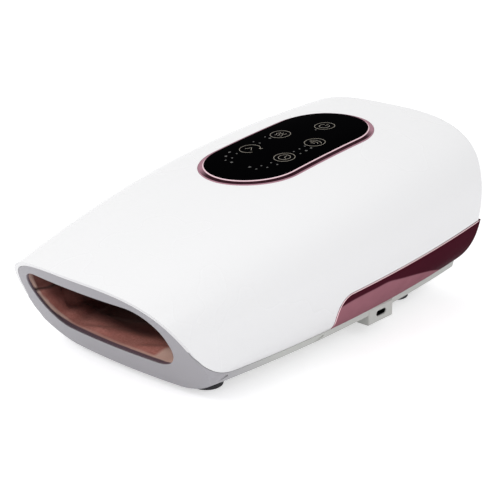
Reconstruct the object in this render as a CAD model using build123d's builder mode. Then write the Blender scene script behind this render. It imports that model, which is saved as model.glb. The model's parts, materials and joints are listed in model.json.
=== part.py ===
from build123d import *
from math import atan, cos, pi, radians, sin, sqrt, tan
import os

os.makedirs("parts", exist_ok=True)

# Hand massager with an air-pressed hand chamber. Millimetres, +Z up, mouth towards -Y,
# charging socket on the +X side, origin on the floor under the middle of the housing.

# Driving sizes of the housing
body_length = 274.5
half_width_front = 59.6
half_width_middle = 80.1
half_width_rear = 76.6
crown_front = 66.9
crown_forward = 88.3
crown_aft = 101.1
crown_rear = 106.8
widest_front = 14.3
widest_middle = 36.3
widest_rear = 49.2
crown_power = 3.17
tuck_power = 2.07
tuck_rear_share = 0.18
split_front = 17.3
split_rear = 20.9
skirt_height = 4.0
skirt_tuck = 0.6
tuck_least = 3.0
belly_height = 4.4
under_run_front = 26.0
under_run_middle = 22.0
under_run_rear = 20.0
under_bulge_front = 2.2
under_bulge_rear = 0.8
face_lean = 31.37
face_bow = 6.5
face_bow_width = 73.0
rear_lean = 10.1
rear_rounding = 6.0
wall = 2.5
face_wall = 2.8
seam = 0.2
overrun = 20.0
fit_gap = 0.3
running_gap = 0.03

width_shares = (0.0, 0.5, 1.0)
crown_shares = (0.0, 0.35, 0.7, 1.0)
section_shares = (-0.04, 0.25, 0.5, 0.75, 1.03)
crown_steps = 5
tuck_steps = 2


# A smooth value along the body, through the named values at the given shares of its length
def smooth(shares, values, share):
    total = 0.0
    for i, value in enumerate(values):
        weight = 1.0
        for j, other in enumerate(shares):
            if j != i:
                weight *= (share - other) / (shares[i] - other)
        total += weight * value
    return total


def half_width(share):
    return smooth(width_shares, (half_width_front, half_width_middle, half_width_rear), share)


def crown_height(share):
    return smooth(crown_shares, (crown_front, crown_forward, crown_aft, crown_rear), share)


def widest_height(share):
    return smooth(width_shares, (widest_front, widest_middle, widest_rear), share)


def split_height(share):
    return split_front + (split_rear - split_front) * share


def share_at(y):
    return y / body_length + 1 / 2


def station(share):
    return (share - 1 / 2) * body_length


# Height of the crown surface over a point of the plan, lowered by an inset
def surface_height(x, y, inset):
    share = share_at(y)
    mid = widest_height(share)
    reach = abs(x) / (half_width(share) - inset)
    return mid + (crown_height(share) - inset - mid) * (1 - reach ** crown_power) ** (1 / crown_power)


# Right half of a cross-section above the skirt: the drawn-in wall, then the superellipse crown
def side_points(share, inset):
    width = half_width(share) - inset
    top = crown_height(share) - inset
    low = split_height(share)
    mid = max(widest_height(share), low + tuck_least)
    tuck = tuck_rear_share * max(share, 0)
    points = []
    for step in range(tuck_steps, 0, -1):
        drop = step / tuck_steps
        points.append((width * (1 - tuck * drop ** tuck_power), mid - (mid - low) * drop))
    for step in range(crown_steps):
        turn = step / crown_steps * pi / 2
        rise = sin(turn) ** (2 / crown_power)
        points.append((width * cos(turn) ** (2 / crown_power), mid + (top - mid) * rise))
    points.append((0, top))
    return points


# The housing's outer form, drawn in by an inset, as a loft of cross-sections along its length
def body_form(inset):
    with BuildPart() as form:
        for share in section_shares:
            points = side_points(share, inset)
            skirt_top = points[0]
            skirt_foot = (skirt_top[0] - skirt_tuck, skirt_top[1] - skirt_height)
            run = smooth(width_shares, (under_run_front, under_run_middle, under_run_rear), share)
            bulge = under_bulge_rear + (under_bulge_front - under_bulge_rear) * max(1 - 2 * share, 0)
            belly_edge = (skirt_foot[0] - run, belly_height + inset)
            fall = skirt_foot[1] - belly_edge[1]
            chord = sqrt(run ** 2 + fall ** 2)
            under_mid = (
                (skirt_foot[0] + belly_edge[0]) / 2 + bulge * fall / chord,
                (skirt_foot[1] + belly_edge[1]) / 2 - bulge * run / chord,
            )
            mirrored = [(-x, z) for x, z in reversed(points[:-1])]
            with BuildSketch(Plane.XZ.offset(-station(share))):
                with BuildLine():
                    Spline(*points, *mirrored)
                    Line((-skirt_top[0], skirt_top[1]), (-skirt_foot[0], skirt_foot[1]))
                    ThreePointArc(
                        (-skirt_foot[0], skirt_foot[1]), (-under_mid[0], under_mid[1]),
                        (-belly_edge[0], belly_edge[1]),
                    )
                    Line((-belly_edge[0], belly_edge[1]), belly_edge)
                    ThreePointArc(belly_edge, under_mid, skirt_foot)
                    Line(skirt_foot, skirt_top)
                make_face()
        loft()
    return form.part


face_slope = tan(radians(face_lean))
face_foot_y = -body_length / 2 + face_slope * crown_front
rear_slope = tan(radians(rear_lean))
rear_foot_y = body_length / 2 - rear_slope * crown_rear
reach_wide = half_width_middle + overrun
reach_high = crown_rear + overrun


# Everything ahead of the bowed, leaning mouth face, set back square to the face
def ahead_of_face(setback):
    middle_y = face_foot_y + setback / cos(radians(face_lean)) + overrun * face_slope
    side_y = middle_y + face_bow * (reach_wide / face_bow_width) ** 2
    with BuildPart() as ahead:
        with BuildSketch(Plane.XY.offset(-overrun)):
            with BuildLine():
                ThreePointArc((-reach_wide, side_y), (0, middle_y), (reach_wide, side_y))
                Line((reach_wide, side_y), (reach_wide, side_y - body_length))
                Line((reach_wide, side_y - body_length), (-reach_wide, side_y - body_length))
                Line((-reach_wide, side_y - body_length), (-reach_wide, side_y))
            make_face()
        extrude(
            amount=(reach_high + overrun) / cos(radians(face_lean)),
            dir=(0, -sin(radians(face_lean)), cos(radians(face_lean))),
        )
    return ahead.part


# Everything behind the leaning rear wall, brought forward square to the wall
def behind_rear(setback):
    foot_y = rear_foot_y - setback / cos(radians(rear_lean))
    low_y = foot_y - rear_slope * overrun
    high_y = foot_y + rear_slope * reach_high
    with BuildPart() as behind:
        with BuildSketch(Plane.YZ.offset(-reach_wide)):
            with BuildLine():
                Polyline(
                    (low_y, -overrun), (high_y, reach_high), (high_y + overrun * 2, reach_high),
                    (high_y + overrun * 2, -overrun), close=True,
                )
            make_face()
        extrude(amount=2 * reach_wide)
    return behind.part


outer_form = body_form(0) - ahead_of_face(0) - behind_rear(0)
rear_face = outer_form.faces().sort_by(Axis.Y)[-1]
outer_form = outer_form.fillet(rear_rounding, rear_face.edges())
inner_form = body_form(wall) - behind_rear(wall)
seat_form = body_form(wall + seam)
face_band = ahead_of_face(face_wall)

# The upper shell's reach in side view: everything above the split line, and at the mouth
# a wide corner that leads from the split line up into the face
corner_rounding = 34.0
corner_width = 64.5
corner_top = 36.0

# Panel, glass and light ring on the crown
panel_y = 35.4
panel_half_length = 61.8
panel_half_width = 32.5
ring_width = 3.4
ring_proud = 1.5
ring_flange = 1.9
flange_proud = 0.5
ring_depth = 2.0
glass_proud = 1.3
panel_gap = 0.15

# Side inlays
inlay_front = -17.0
inlay_tip = -13.0
inlay_front_top = 38.4
inlay_rear_top = 48.4
inlay_corner = 12.0
inlay_rear_corner = 11.0
inlay_rear_margin = 1.6
inlay_proud = 0.25
inlay_depth = 1.2

# Mouth and hand chamber
mouth_half_width = 51.5
mouth_half_height = 18.9
mouth_middle = 37.9
mouth_corner = 17.5
mouth_edge = 0.8
face_lip = 1.4
clamp_margin = 7.0
clamp_thickness = 3.5
liner_thickness = 2.0
liner_setback = 0.6
sleeve_end = -97.0
chamber_rear = 57.6
liner_side_top = 55.5
pad_front = -96.0
pad_rear = 56.0
pad_side_gap = 0.9
pad_thickness = 3.5
pad_height = 45.5
pad_bend = 5.0
pad_rounding = 1.4
riser_height = 67.0
riser_corner = 12.0
bag_front = -77.0
bag_half_width = 47.0
bag_thickness = 11.4
bag_rounding = 4.0
frame_wall = 2.5
frame_front = -80.0
frame_half_width = 57.0
frame_corner = 10.0
frame_foot = 16.0
ear_spots = (-34.0, 51.0)
ear_reach = 8.0
ear_width = 10.0
frame_post = 8.0
frame_shank = 2.6
frame_screw_length = 5.5
frame_pilot = 3.2
small_head = 5.4
small_head_height = 1.8

# Massage nodes and heating film under the palm
plate_half_width = 39.0
plate_front = -68.0
plate_rear = 54.0
plate_height = 11.5
plate_thickness = 2.3
dome_radius = 5.0
dome_height = 2.0
dome_pitch = 15.0
dome_rows = 8
dome_columns = 5
film_thickness = 0.35
film_margin = 2.0
rib_thickness = 2.0
rib_spots = (-60.0, -7.0, 46.0)

# Charging socket in its block under the skirt
port_y = 33.5
port_length = 22.5
port_face_x = 72.8
port_inner_x = 58.0
port_foot = 9.2
port_head = 19.2
port_rounding = 1.0
socket_height = 14.5
socket_width = 8.94
socket_tall = 3.26
socket_depth = 7.35
socket_wall = 0.3
socket_setback = 0.6
socket_gap = 0.12
tongue_width = 6.69
tongue_thickness = 0.7
tongue_length = 4.45
usb_board_width = 18.0
usb_board_thickness = 1.4
usb_board_foot = 11.0
usb_board_top = 23.0

# Feet and case screws
foot_radius = 9.0
foot_sink = 1.2
foot_x = 42.0
foot_front_y = -79.0
foot_rear_y = 88.0
foot_edge = 1.0
foot_boss_margin = 1.6
foot_boss_height = 7.0
screw_shank = 3.0
screw_head = 6.0
screw_head_height = 2.2
screw_length = 12.0
screw_spots = ((62.0, -62.0), (63.0, 4.0), (60.0, 94.0))
screw_seat = 15.0
screw_web = 2.6
case_boss = 8.0
boss_gap = 0.2
parting_gap = 0.25
pry_spots = ((66.8, -93.0, 15.6), (72.4, -22.0, 16.0))
pry_length = 7.4
pry_width = 1.0
pry_depth = 0.8
pry_tilt = 13.5

# Touch board under the panel
panel_floor = 2.0
board_thickness = 1.6
touch_half_length = 47.0
touch_half_width = 23.0
touch_drop = 2.4
touch_boss = 6.0
touch_boss_inset = 4.0
touch_shank = 2.0
touch_head = 3.8
touch_head_height = 1.3
touch_screw_length = 5.0
glue_gap = 0.1

# Battery, pump and main board in the rear
cell_radius = 9.2
cell_length = 65.0
cell_pitch = 19.0
cell_rear_y = 101.0
cell_middle_x = -9.0
cell_floor = 2.0
tray_margin = 1.2
tray_height = 9.0
can_radius = 10.5
can_length = 24.0
can_wall = 1.0
pump_x = 35.8
pump_front = 74.0
pump_floor = 2.0
head_length = 18.0
head_wall = 1.6
shaft_radius = 1.15
shaft_gap = 0.025
bush_radius = 3.0
bush_length = 2.4
armature_radius = 8.0
armature_length = 14.0
crank_radius = 5.0
crank_length = 4.0
crank_throw = 3.0
pin_radius = 1.5
pin_length = 5.0
diaphragm_thickness = 1.6
barb_radius = 1.95
barb_length = 6.0
hose_radius = 3.0
hose_bore = 2.0
hose_bend = 9.0
cradle_height = 7.0
cradle_length = 8.0
cradle_half_width = 6.9
main_board_width = 90.0
main_board_height = 36.0
main_board_foot = 24.0
standoff_length = 5.0
standoff_radius = 3.0
standoff_inset = 5.0

# Valves and manifold on the frame's roof
valve_x = 30.0
valve_y = 42.0
valve_side = 14.0
valve_tall = 22.0
valve_wall = 1.2
valve_floor = 3.0
coil_radius = 5.6
coil_bore = 2.7
coil_height = 12.0
plunger_radius = 2.5
plunger_length = 13.0
valve_spring_radius = 2.0
valve_spring_wire = 0.4
valve_spring_turns = 4
manifold_length = 20.0
manifold_side = 10.0
port_rise = 7.0
bag_spigot_radius = 3.0


# A stadium on the crown: the panel's plan, grown or drawn in by an amount
def panel_prism(growth):
    with BuildPart() as prism:
        with BuildSketch(Plane.XY.offset(crown_front)):
            with Locations((0, panel_y)):
                SlotOverall(2 * (panel_half_length + growth), 2 * (panel_half_width + growth), rotation=90)
        extrude(amount=reach_high - crown_front)
    return prism.part


# Side view of the inlay: low tip at the front, long rising top edge, rounded ends
def inlay_prism(growth):
    foot = split_height(share_at(inlay_tip))
    rear_low = rear_foot_y + rear_slope * foot - inlay_rear_margin
    rear_low_height = split_height(share_at(rear_low))
    rear_high = rear_foot_y + rear_slope * inlay_rear_top - inlay_rear_margin
    with BuildPart() as prism:
        with BuildSketch(Plane.YZ.offset(half_width_front / 2)) as view:
            with BuildLine():
                Polyline(
                    (inlay_tip, foot), (rear_low, rear_low_height),
                    (rear_high, inlay_rear_top), (inlay_front, inlay_front_top), close=True,
                )
            make_face()
            fillet(view.vertices().sort_by_distance((inlay_front, inlay_front_top))[0], inlay_corner)
            fillet(view.vertices().sort_by_distance((rear_low, rear_low_height))[0], inlay_rear_corner)
            offset(amount=growth)
        extrude(amount=reach_wide)
    return prism.part


def shell_reach(growth):
    bow_here = face_bow * (corner_width / face_bow_width) ** 2
    front_low = face_foot_y + bow_here - face_slope * split_front
    front_high = face_foot_y + bow_here - face_slope * corner_top
    far_front = -body_length
    far_rear = body_length
    low_rear = split_height(share_at(far_rear))
    with BuildPart() as reach:
        with BuildSketch(Plane.YZ.offset(-reach_wide)) as view:
            with BuildLine():
                Polyline(
                    (far_front, corner_top), (front_high, corner_top),
                    (front_low, split_height(share_at(front_low))), (far_rear, low_rear),
                    (far_rear, reach_high), (far_front, reach_high), close=True,
                )
            make_face()
            corner = view.vertices().sort_by_distance((front_low, split_height(share_at(front_low))))[0]
            fillet(corner, corner_rounding)
            offset(amount=growth)
        extrude(amount=2 * reach_wide)
    return reach.part


white_reach = shell_reach(0)
standing = (Align.CENTER, Align.CENTER, Align.MIN)


# Upright posts of one size, kept inside a form so that they end in its walls
def posts(spots, radius, low, high, form):
    with BuildPart() as group:
        with Locations(*[(x, y, low) for x, y in spots]):
            Cylinder(radius, high - low, align=standing)
        add(form, mode=Mode.INTERSECT)
    return group.part


# A pan-head screw standing point up, its head's seat at the origin
def screw(shank_radius, length, head_radius, head_height):
    with BuildPart() as piece:
        with Locations((0, 0, -head_height)):
            Cylinder(head_radius, head_height, align=standing)
        fillet(piece.edges().group_by(Axis.Z)[0], head_height / 3)
        Cylinder(shank_radius, length, align=standing)
    return piece.part


# A prism of the mouth's outline along the housing, grown by an amount
def mouth_prism(growth, front, rear):
    with BuildPart() as prism:
        with BuildSketch(Plane.XZ.offset(-front)):
            with Locations((0, mouth_middle)):
                RectangleRounded(
                    2 * (mouth_half_width + growth), 2 * (mouth_half_height + growth), mouth_corner + growth
                )
        extrude(amount=front - rear)
    return prism.part


middle_form = body_form(wall / 2)
both_sides = (1, -1)
case_spots = [(side * x, y) for x, y in screw_spots for side in both_sides]
foot_spots = {
    "foot_front_right": (foot_x, foot_front_y),
    "foot_front_left": (-foot_x, foot_front_y),
    "foot_rear_right": (foot_x, foot_rear_y),
    "foot_rear_left": (-foot_x, foot_rear_y),
}
ear_x = frame_half_width + ear_reach / 2
frame_spots = [(side * ear_x, y) for y in ear_spots for side in both_sides]
boss_foot = screw_seat + screw_web + boss_gap

# Plane of the touch board, along the chord of the crown under the panel
touch_front_y = panel_y - touch_half_length
touch_rear_y = panel_y + touch_half_length
panel_recess = ring_depth + glue_gap
board_inset = panel_recess + panel_floor + touch_drop
touch_front_z = surface_height(0, touch_front_y, board_inset)
touch_rear_z = surface_height(0, touch_rear_y, board_inset)
touch_tilt = atan((touch_rear_z - touch_front_z) / (2 * touch_half_length))
touch_plane = Plane(
    origin=(0, panel_y, (touch_front_z + touch_rear_z) / 2),
    x_dir=(1, 0, 0),
    z_dir=(0, -sin(touch_tilt), cos(touch_tilt)),
)
touch_spots = [
    (side * (touch_half_width - touch_boss_inset), end * (touch_half_length - touch_boss_inset))
    for side in both_sides for end in both_sides
]
floor_form = body_form(panel_recess + panel_floor)
recess_form = body_form(panel_recess)

with BuildPart() as touch_bosses:
    with BuildSketch(touch_plane):
        with Locations(*touch_spots):
            Circle(touch_boss / 2)
    extrude(amount=2 * touch_drop)
    add(middle_form, mode=Mode.INTERSECT)

with BuildPart() as panel_thickening:
    add(panel_prism(wall))
    add(middle_form, mode=Mode.INTERSECT)
    add(floor_form, mode=Mode.SUBTRACT)

with BuildPart() as panel_seat:
    add(panel_prism(panel_gap))
    add(recess_form, mode=Mode.SUBTRACT)

inlay_back = body_form(inlay_depth)
inlay_seat = body_form(inlay_depth + glue_gap)
inlay_outside = body_form(-inlay_proud)

with BuildPart() as inlay_recess:
    add(inlay_prism(panel_gap))
    add(inlay_seat, mode=Mode.SUBTRACT)
    mirror(about=Plane.YZ)

# White upper shell with its panel seat, inlay recesses and screw bosses
with BuildPart() as upper_shell:
    add(outer_form)
    add(inner_form, mode=Mode.SUBTRACT)
    add(white_reach, mode=Mode.INTERSECT)
    add(panel_thickening.part)
    add(posts(case_spots, case_boss / 2, boss_foot, reach_high, middle_form))
    add(touch_bosses.part)
    add(panel_seat.part, mode=Mode.SUBTRACT)
    add(inlay_recess.part, mode=Mode.SUBTRACT)
    with Locations(*[(x, y, boss_foot) for x, y in case_spots]):
        Cylinder(
            screw_shank / 2 + running_gap, screw_length, align=standing,
            mode=Mode.SUBTRACT,
        )
    with BuildSketch(touch_plane):
        with Locations(*touch_spots):
            Circle(touch_shank / 2 + running_gap)
    extrude(amount=touch_screw_length, mode=Mode.SUBTRACT)
upper_shell.part.label = "upper_shell"
export_step(upper_shell.part, "parts/upper_shell.step")

# Grey lower shell: belly pan, skirt and the leaning mouth face that fits inside the white rim
belly_top = belly_height + wall
port_middle_x = (port_face_x + port_inner_x) / 2
with BuildPart() as cavity:
    add(body_form(wall))
    add(face_band, mode=Mode.SUBTRACT)
    add(behind_rear(wall), mode=Mode.SUBTRACT)

with BuildPart() as face_wall_part:
    add(seat_form)
    add(face_band, mode=Mode.INTERSECT)
    add(ahead_of_face(0), mode=Mode.SUBTRACT)

with BuildPart() as liner_seat:
    add(mouth_prism(liner_setback + liner_thickness + fit_gap, -body_length, 0))
    add(ahead_of_face(face_lip), mode=Mode.SUBTRACT)

with BuildPart() as port_block:
    with Locations((port_middle_x, port_y, (port_foot + port_head) / 2)):
        Box(port_face_x - port_inner_x, port_length, port_head - port_foot)
    fillet(port_block.faces().sort_by(Axis.X)[-1].edges(), port_rounding)

with BuildPart() as node_ribs:
    with Locations(*[(0, y, belly_top - wall / 2) for y in rib_spots]):
        Box(
            2 * (plate_half_width - film_margin), rib_thickness, plate_height - belly_top + wall / 2,
            align=standing,
        )

socket_back_x = port_face_x - socket_setback - socket_depth
usb_board_x = socket_back_x - usb_board_thickness / 2
foot_places = list(foot_spots.values())
pry_places = [
    Location((side * x, y, z), (pry_tilt, 0, 0)) for x, y, z in pry_spots for side in both_sides
]

with BuildPart() as lower_shell:
    add(outer_form)
    add(shell_reach(parting_gap), mode=Mode.SUBTRACT)
    add(face_wall_part.part)
    with Locations(*[(x, y, belly_height) for x, y in foot_places]):
        Cylinder(foot_radius + foot_boss_margin, foot_boss_height, align=standing)
    add(cavity.part, mode=Mode.SUBTRACT)
    add(port_block.part)
    add(node_ribs.part)
    add(posts(case_spots, case_boss / 2, belly_height, boss_foot - boss_gap, middle_form))
    add(posts(frame_spots, frame_post / 2, belly_height, frame_foot, middle_form))
    add(mouth_prism(0, -body_length, 0), mode=Mode.SUBTRACT)
    mouth_front = lower_shell.faces().filter_by(lambda face: len(face.inner_wires()) > 0).sort_by(Axis.Y)[0]
    fillet(mouth_front.inner_wires()[0].edges(), mouth_edge)
    add(liner_seat.part, mode=Mode.SUBTRACT)
    with Locations(*pry_places):
        Box(2 * pry_depth, pry_length, pry_width, mode=Mode.SUBTRACT)
    with Locations(*[(x, y, belly_height) for x, y in foot_places]):
        Cylinder(
            foot_radius + fit_gap / 2, foot_sink, align=standing, mode=Mode.SUBTRACT,
        )
    with Locations(*[(x, y, 0) for x, y in case_spots]):
        Cylinder(
            screw_head / 2 + fit_gap, screw_seat, align=standing, mode=Mode.SUBTRACT,
        )
        Cylinder(
            screw_shank / 2 + running_gap, reach_high, align=standing,
            mode=Mode.SUBTRACT,
        )
    with Locations(*[(x, y, frame_foot - frame_pilot) for x, y in frame_spots]):
        Cylinder(
            frame_shank / 2 + running_gap, frame_pilot, align=standing,
            mode=Mode.SUBTRACT,
        )
    with BuildSketch(Plane.YZ.offset(socket_back_x)):
        with Locations((port_y, socket_height)):
            SlotOverall(socket_width + 2 * socket_gap, socket_tall + 2 * socket_gap)
    extrude(amount=reach_wide, mode=Mode.SUBTRACT)
    with Locations((usb_board_x, port_y, usb_board_foot)):
        Box(
            usb_board_thickness + 2 * socket_gap, usb_board_width + 2 * socket_gap, reach_high,
            align=standing, mode=Mode.SUBTRACT,
        )
lower_shell.part.label = "lower_shell"
export_step(lower_shell.part, "parts/lower_shell.step")

# Bright frame and black glass of the touch panel, both following the crown; the frame is a
# narrow lip level with the glass and a lower flange outside it
with BuildPart() as ring_skirt:
    add(body_form(-flange_proud))
    add(panel_prism(0), mode=Mode.INTERSECT)

with BuildPart() as panel_ring:
    add(body_form(-ring_proud))
    add(panel_prism(-ring_flange), mode=Mode.INTERSECT)
    add(ring_skirt.part)
    add(body_form(ring_depth), mode=Mode.SUBTRACT)
    add(panel_prism(-ring_width), mode=Mode.SUBTRACT)
panel_ring.part.label = "panel_ring"
export_step(panel_ring.part, "parts/panel_ring.step")

with BuildPart() as panel_glass:
    add(body_form(-glass_proud))
    add(body_form(ring_depth), mode=Mode.SUBTRACT)
    add(panel_prism(-ring_width - panel_gap), mode=Mode.INTERSECT)
panel_glass.part.label = "panel_glass"
export_step(panel_glass.part, "parts/panel_glass.step")

with BuildPart() as side_inlay_right:
    add(inlay_outside)
    add(inlay_back, mode=Mode.SUBTRACT)
    add(inlay_prism(0), mode=Mode.INTERSECT)
side_inlay_right.part.label = "side_inlay_right"
export_step(side_inlay_right.part, "parts/side_inlay_right.step")

with BuildPart() as side_inlay_left:
    mirror(side_inlay_right.part, about=Plane.YZ)
side_inlay_left.part.label = "side_inlay_left"
export_step(side_inlay_left.part, "parts/side_inlay_left.step")

# Touch board and its screws
with BuildPart() as touch_board:
    with BuildSketch(touch_plane):
        RectangleRounded(2 * touch_half_width, 2 * touch_half_length, touch_boss_inset)
        with Locations(*touch_spots):
            Circle(touch_shank / 2 + running_gap, mode=Mode.SUBTRACT)
    extrude(amount=-board_thickness)
touch_board.part.label = "touch_board"
export_step(touch_board.part, "parts/touch_board.step")

touch_screw = screw(touch_shank / 2, touch_screw_length, touch_head / 2, touch_head_height)
with BuildPart() as touch_screws:
    with Locations(touch_plane.offset(-board_thickness)):
        with Locations(*[(x, y, 0) for x, y in touch_spots]):
            add(touch_screw)
touch_screws.part.label = "touch_screws"
export_step(touch_screws.part, "parts/touch_screws.step")

# Rubber feet, set into shallow sockets under the belly
for foot_name, (foot_spot_x, foot_spot_y) in foot_spots.items():
    with BuildPart() as foot:
        with Locations((foot_spot_x, foot_spot_y, 0)):
            Cylinder(foot_radius, belly_height + foot_sink, align=standing)
        fillet(foot.edges().group_by(Axis.Z)[0], foot_edge)
    foot.part.label = foot_name
    export_step(foot.part, f"parts/{foot_name}.step")

# Screws that come up through the belly into the upper shell
case_screw = screw(screw_shank / 2, screw_length, screw_head / 2, screw_head_height)
with BuildPart() as case_screws:
    with Locations(*[(x, y, screw_seat) for x, y in case_spots]):
        add(case_screw)
case_screws.part.label = "case_screws"
export_step(case_screws.part, "parts/case_screws.step")

# Clamp ring behind the mouth, round the liner's front end
clamp_back = face_wall + clamp_thickness
with BuildPart() as mouth_clamp:
    add(mouth_prism(clamp_margin, -body_length / 2 - overrun, 0))
    add(ahead_of_face(clamp_back), mode=Mode.INTERSECT)
    add(face_band, mode=Mode.SUBTRACT)
    add(mouth_prism(liner_setback + liner_thickness + fit_gap, -body_length, 0), mode=Mode.SUBTRACT)
    add(body_form(wall + seam + fit_gap), mode=Mode.INTERSECT)
mouth_clamp.part.label = "mouth_clamp"
export_step(mouth_clamp.part, "parts/mouth_clamp.step")

# Fabric hand liner: a closed sleeve behind the mouth, then a trough that is open towards the pad
liner_bottom = mouth_middle - mouth_half_height - liner_setback
liner_inner = mouth_half_width + liner_setback
with BuildPart() as hand_liner:
    add(mouth_prism(liner_setback + liner_thickness, -body_length / 2 - overrun, sleeve_end))
    with BuildSketch(Plane.XZ.offset(-sleeve_end)) as trough:
        with Locations((0, liner_bottom - liner_thickness)):
            Rectangle(
                2 * (liner_inner + liner_thickness), liner_side_top - liner_bottom + liner_thickness,
                align=(Align.CENTER, Align.MIN),
            )
        fillet(trough.vertices().group_by(Axis.Y)[0], mouth_corner + liner_setback + liner_thickness)
    extrude(amount=sleeve_end - chamber_rear - liner_thickness)
    add(mouth_prism(liner_setback, -body_length, sleeve_end), mode=Mode.SUBTRACT)
    with BuildSketch(Plane.XZ.offset(-sleeve_end)) as hollow:
        with Locations((0, liner_bottom)):
            Rectangle(2 * liner_inner, reach_high, align=(Align.CENTER, Align.MIN))
        fillet(hollow.vertices().group_by(Axis.Y)[0], mouth_corner + liner_setback)
    extrude(amount=sleeve_end - chamber_rear, mode=Mode.SUBTRACT)
    add(ahead_of_face(face_lip + fit_gap / 2), mode=Mode.SUBTRACT)
hand_liner.part.label = "hand_liner"
export_step(hand_liner.part, "parts/hand_liner.step")

# Palm plate with massage nodes, and the heating film between it and the liner
node_top = plate_height + plate_thickness
dome_top = node_top + dome_height
plate_middle = (plate_front + plate_rear) / 2
plate_length = plate_rear - plate_front
dome_ball = (dome_radius ** 2 + dome_height ** 2) / (2 * dome_height)
with BuildPart() as dome:
    Sphere(dome_ball)
    split(bisect_by=Plane.XY.offset(dome_ball - dome_height), keep=Keep.TOP)
with BuildPart() as node_plate:
    with BuildSketch(Plane.XY.offset(plate_height)):
        with Locations((0, plate_middle)):
            RectangleRounded(2 * plate_half_width, plate_length, dome_radius)
    extrude(amount=plate_thickness)
    with Locations((0, plate_middle, node_top - dome_ball + dome_height)):
        with GridLocations(dome_pitch, dome_pitch, dome_columns, dome_rows):
            add(dome.part)
node_plate.part.label = "node_plate"
export_step(node_plate.part, "parts/node_plate.step")

with BuildPart() as heating_film:
    with BuildSketch(Plane.XY.offset(dome_top)):
        with Locations((0, plate_middle)):
            RectangleRounded(
                2 * (plate_half_width - film_margin), plate_length - 2 * film_margin, dome_radius
            )
    extrude(amount=film_thickness)
heating_film.part.label = "heating_film"
export_step(heating_film.part, "parts/heating_film.step")

# Pressing pad of the liner: a soft slab over the hand, whose front turns up behind the sleeve
pad_half_width = liner_inner - pad_side_gap
inner_bend = (pad_front + pad_thickness, pad_height + pad_thickness)
with BuildPart() as press_pad:
    with BuildSketch(Plane.YZ.offset(-pad_half_width)) as pad_side:
        with BuildLine():
            Polyline(
                (pad_front, pad_height), (pad_rear, pad_height), (pad_rear, pad_height + pad_thickness),
                inner_bend, (pad_front + pad_thickness, riser_height), (pad_front, riser_height), close=True,
            )
        make_face()
        fillet(pad_side.vertices().sort_by_distance((pad_front, pad_height))[0], pad_bend)
        fillet(pad_side.vertices().sort_by_distance(inner_bend)[0], pad_rounding)
    extrude(amount=2 * pad_half_width)
    riser_tops = press_pad.edges().filter_by(Axis.Y).group_by(Axis.Z)[-1]
    fillet(riser_tops, riser_corner)
    fillet(press_pad.edges().filter_by(Axis.Y).group_by(Axis.Z)[0], pad_rounding)
press_pad.part.label = "press_pad"
export_step(press_pad.part, "parts/press_pad.step")

# Air bag between the pad and the frame's roof
bag_low = pad_height + pad_thickness + fit_gap
bag_high = bag_low + bag_thickness
with BuildPart() as air_bag:
    with BuildSketch(Plane.XY.offset(bag_low)):
        with Locations((0, (bag_front + pad_rear) / 2)):
            RectangleRounded(2 * bag_half_width, pad_rear - bag_front, 2 * bag_rounding)
    extrude(amount=bag_thickness)
    bag_faces = air_bag.faces().sort_by(Axis.Z)
    fillet(bag_faces[0].edges() + bag_faces[-1].edges(), bag_rounding)
air_bag.part.label = "air_bag"
export_step(air_bag.part, "parts/air_bag.step")

# Chamber frame: a bridge over the bag with a rear wall, ears on posts and standoffs for the board
roof_low = bag_high + fit_gap
roof_high = roof_low + frame_wall
frame_wall_front = chamber_rear + liner_thickness + fit_gap
frame_rear = frame_wall_front + frame_wall
standoff_spots = [
    (side * (main_board_width / 2 - standoff_inset), height)
    for side in both_sides
    for height in (main_board_foot + standoff_inset, main_board_foot + main_board_height - standoff_inset)
]
with BuildPart() as chamber_frame:
    with BuildSketch(Plane.XZ.offset(-frame_front)) as bridge:
        with Locations((0, frame_foot)):
            Rectangle(2 * frame_half_width, roof_high - frame_foot, align=(Align.CENTER, Align.MIN))
        fillet(bridge.vertices().group_by(Axis.Y)[-1], frame_corner)
    extrude(amount=frame_front - frame_rear)
    with BuildSketch(Plane.XZ.offset(-frame_front)) as under_bridge:
        with Locations((0, 0)):
            Rectangle(2 * (frame_half_width - frame_wall), roof_low, align=(Align.CENTER, Align.MIN))
        fillet(under_bridge.vertices().group_by(Axis.Y)[-1], frame_corner - frame_wall)
    extrude(amount=frame_front - frame_wall_front, mode=Mode.SUBTRACT)
    with Locations(*[(x, y, frame_foot) for x, y in frame_spots]):
        Box(ear_reach, ear_width, frame_wall, align=standing)
        Cylinder(
            frame_shank / 2 + running_gap, frame_wall,
            align=standing, mode=Mode.SUBTRACT,
        )
    with BuildSketch(Plane.XZ.offset(-frame_rear)):
        with Locations(*standoff_spots):
            Circle(standoff_radius)
    extrude(amount=-standoff_length)
    with BuildSketch(Plane.XZ.offset(-frame_rear - standoff_length)):
        with Locations(*standoff_spots):
            Circle(touch_shank / 2 + running_gap)
    extrude(amount=standoff_length, mode=Mode.SUBTRACT)
    with Locations((0, valve_y, roof_low)):
        Cylinder(
            bag_spigot_radius + fit_gap / 2, frame_wall,
            align=standing, mode=Mode.SUBTRACT,
        )
chamber_frame.part.label = "chamber_frame"
export_step(chamber_frame.part, "parts/chamber_frame.step")

frame_screw = screw(frame_shank / 2, frame_screw_length, small_head / 2, small_head_height)
with BuildPart() as frame_screws:
    with Locations(*[Location((x, y, frame_foot + frame_wall), (180, 0, 0)) for x, y in frame_spots]):
        add(frame_screw)
frame_screws.part.label = "frame_screws"
export_step(frame_screws.part, "parts/frame_screws.step")

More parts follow.
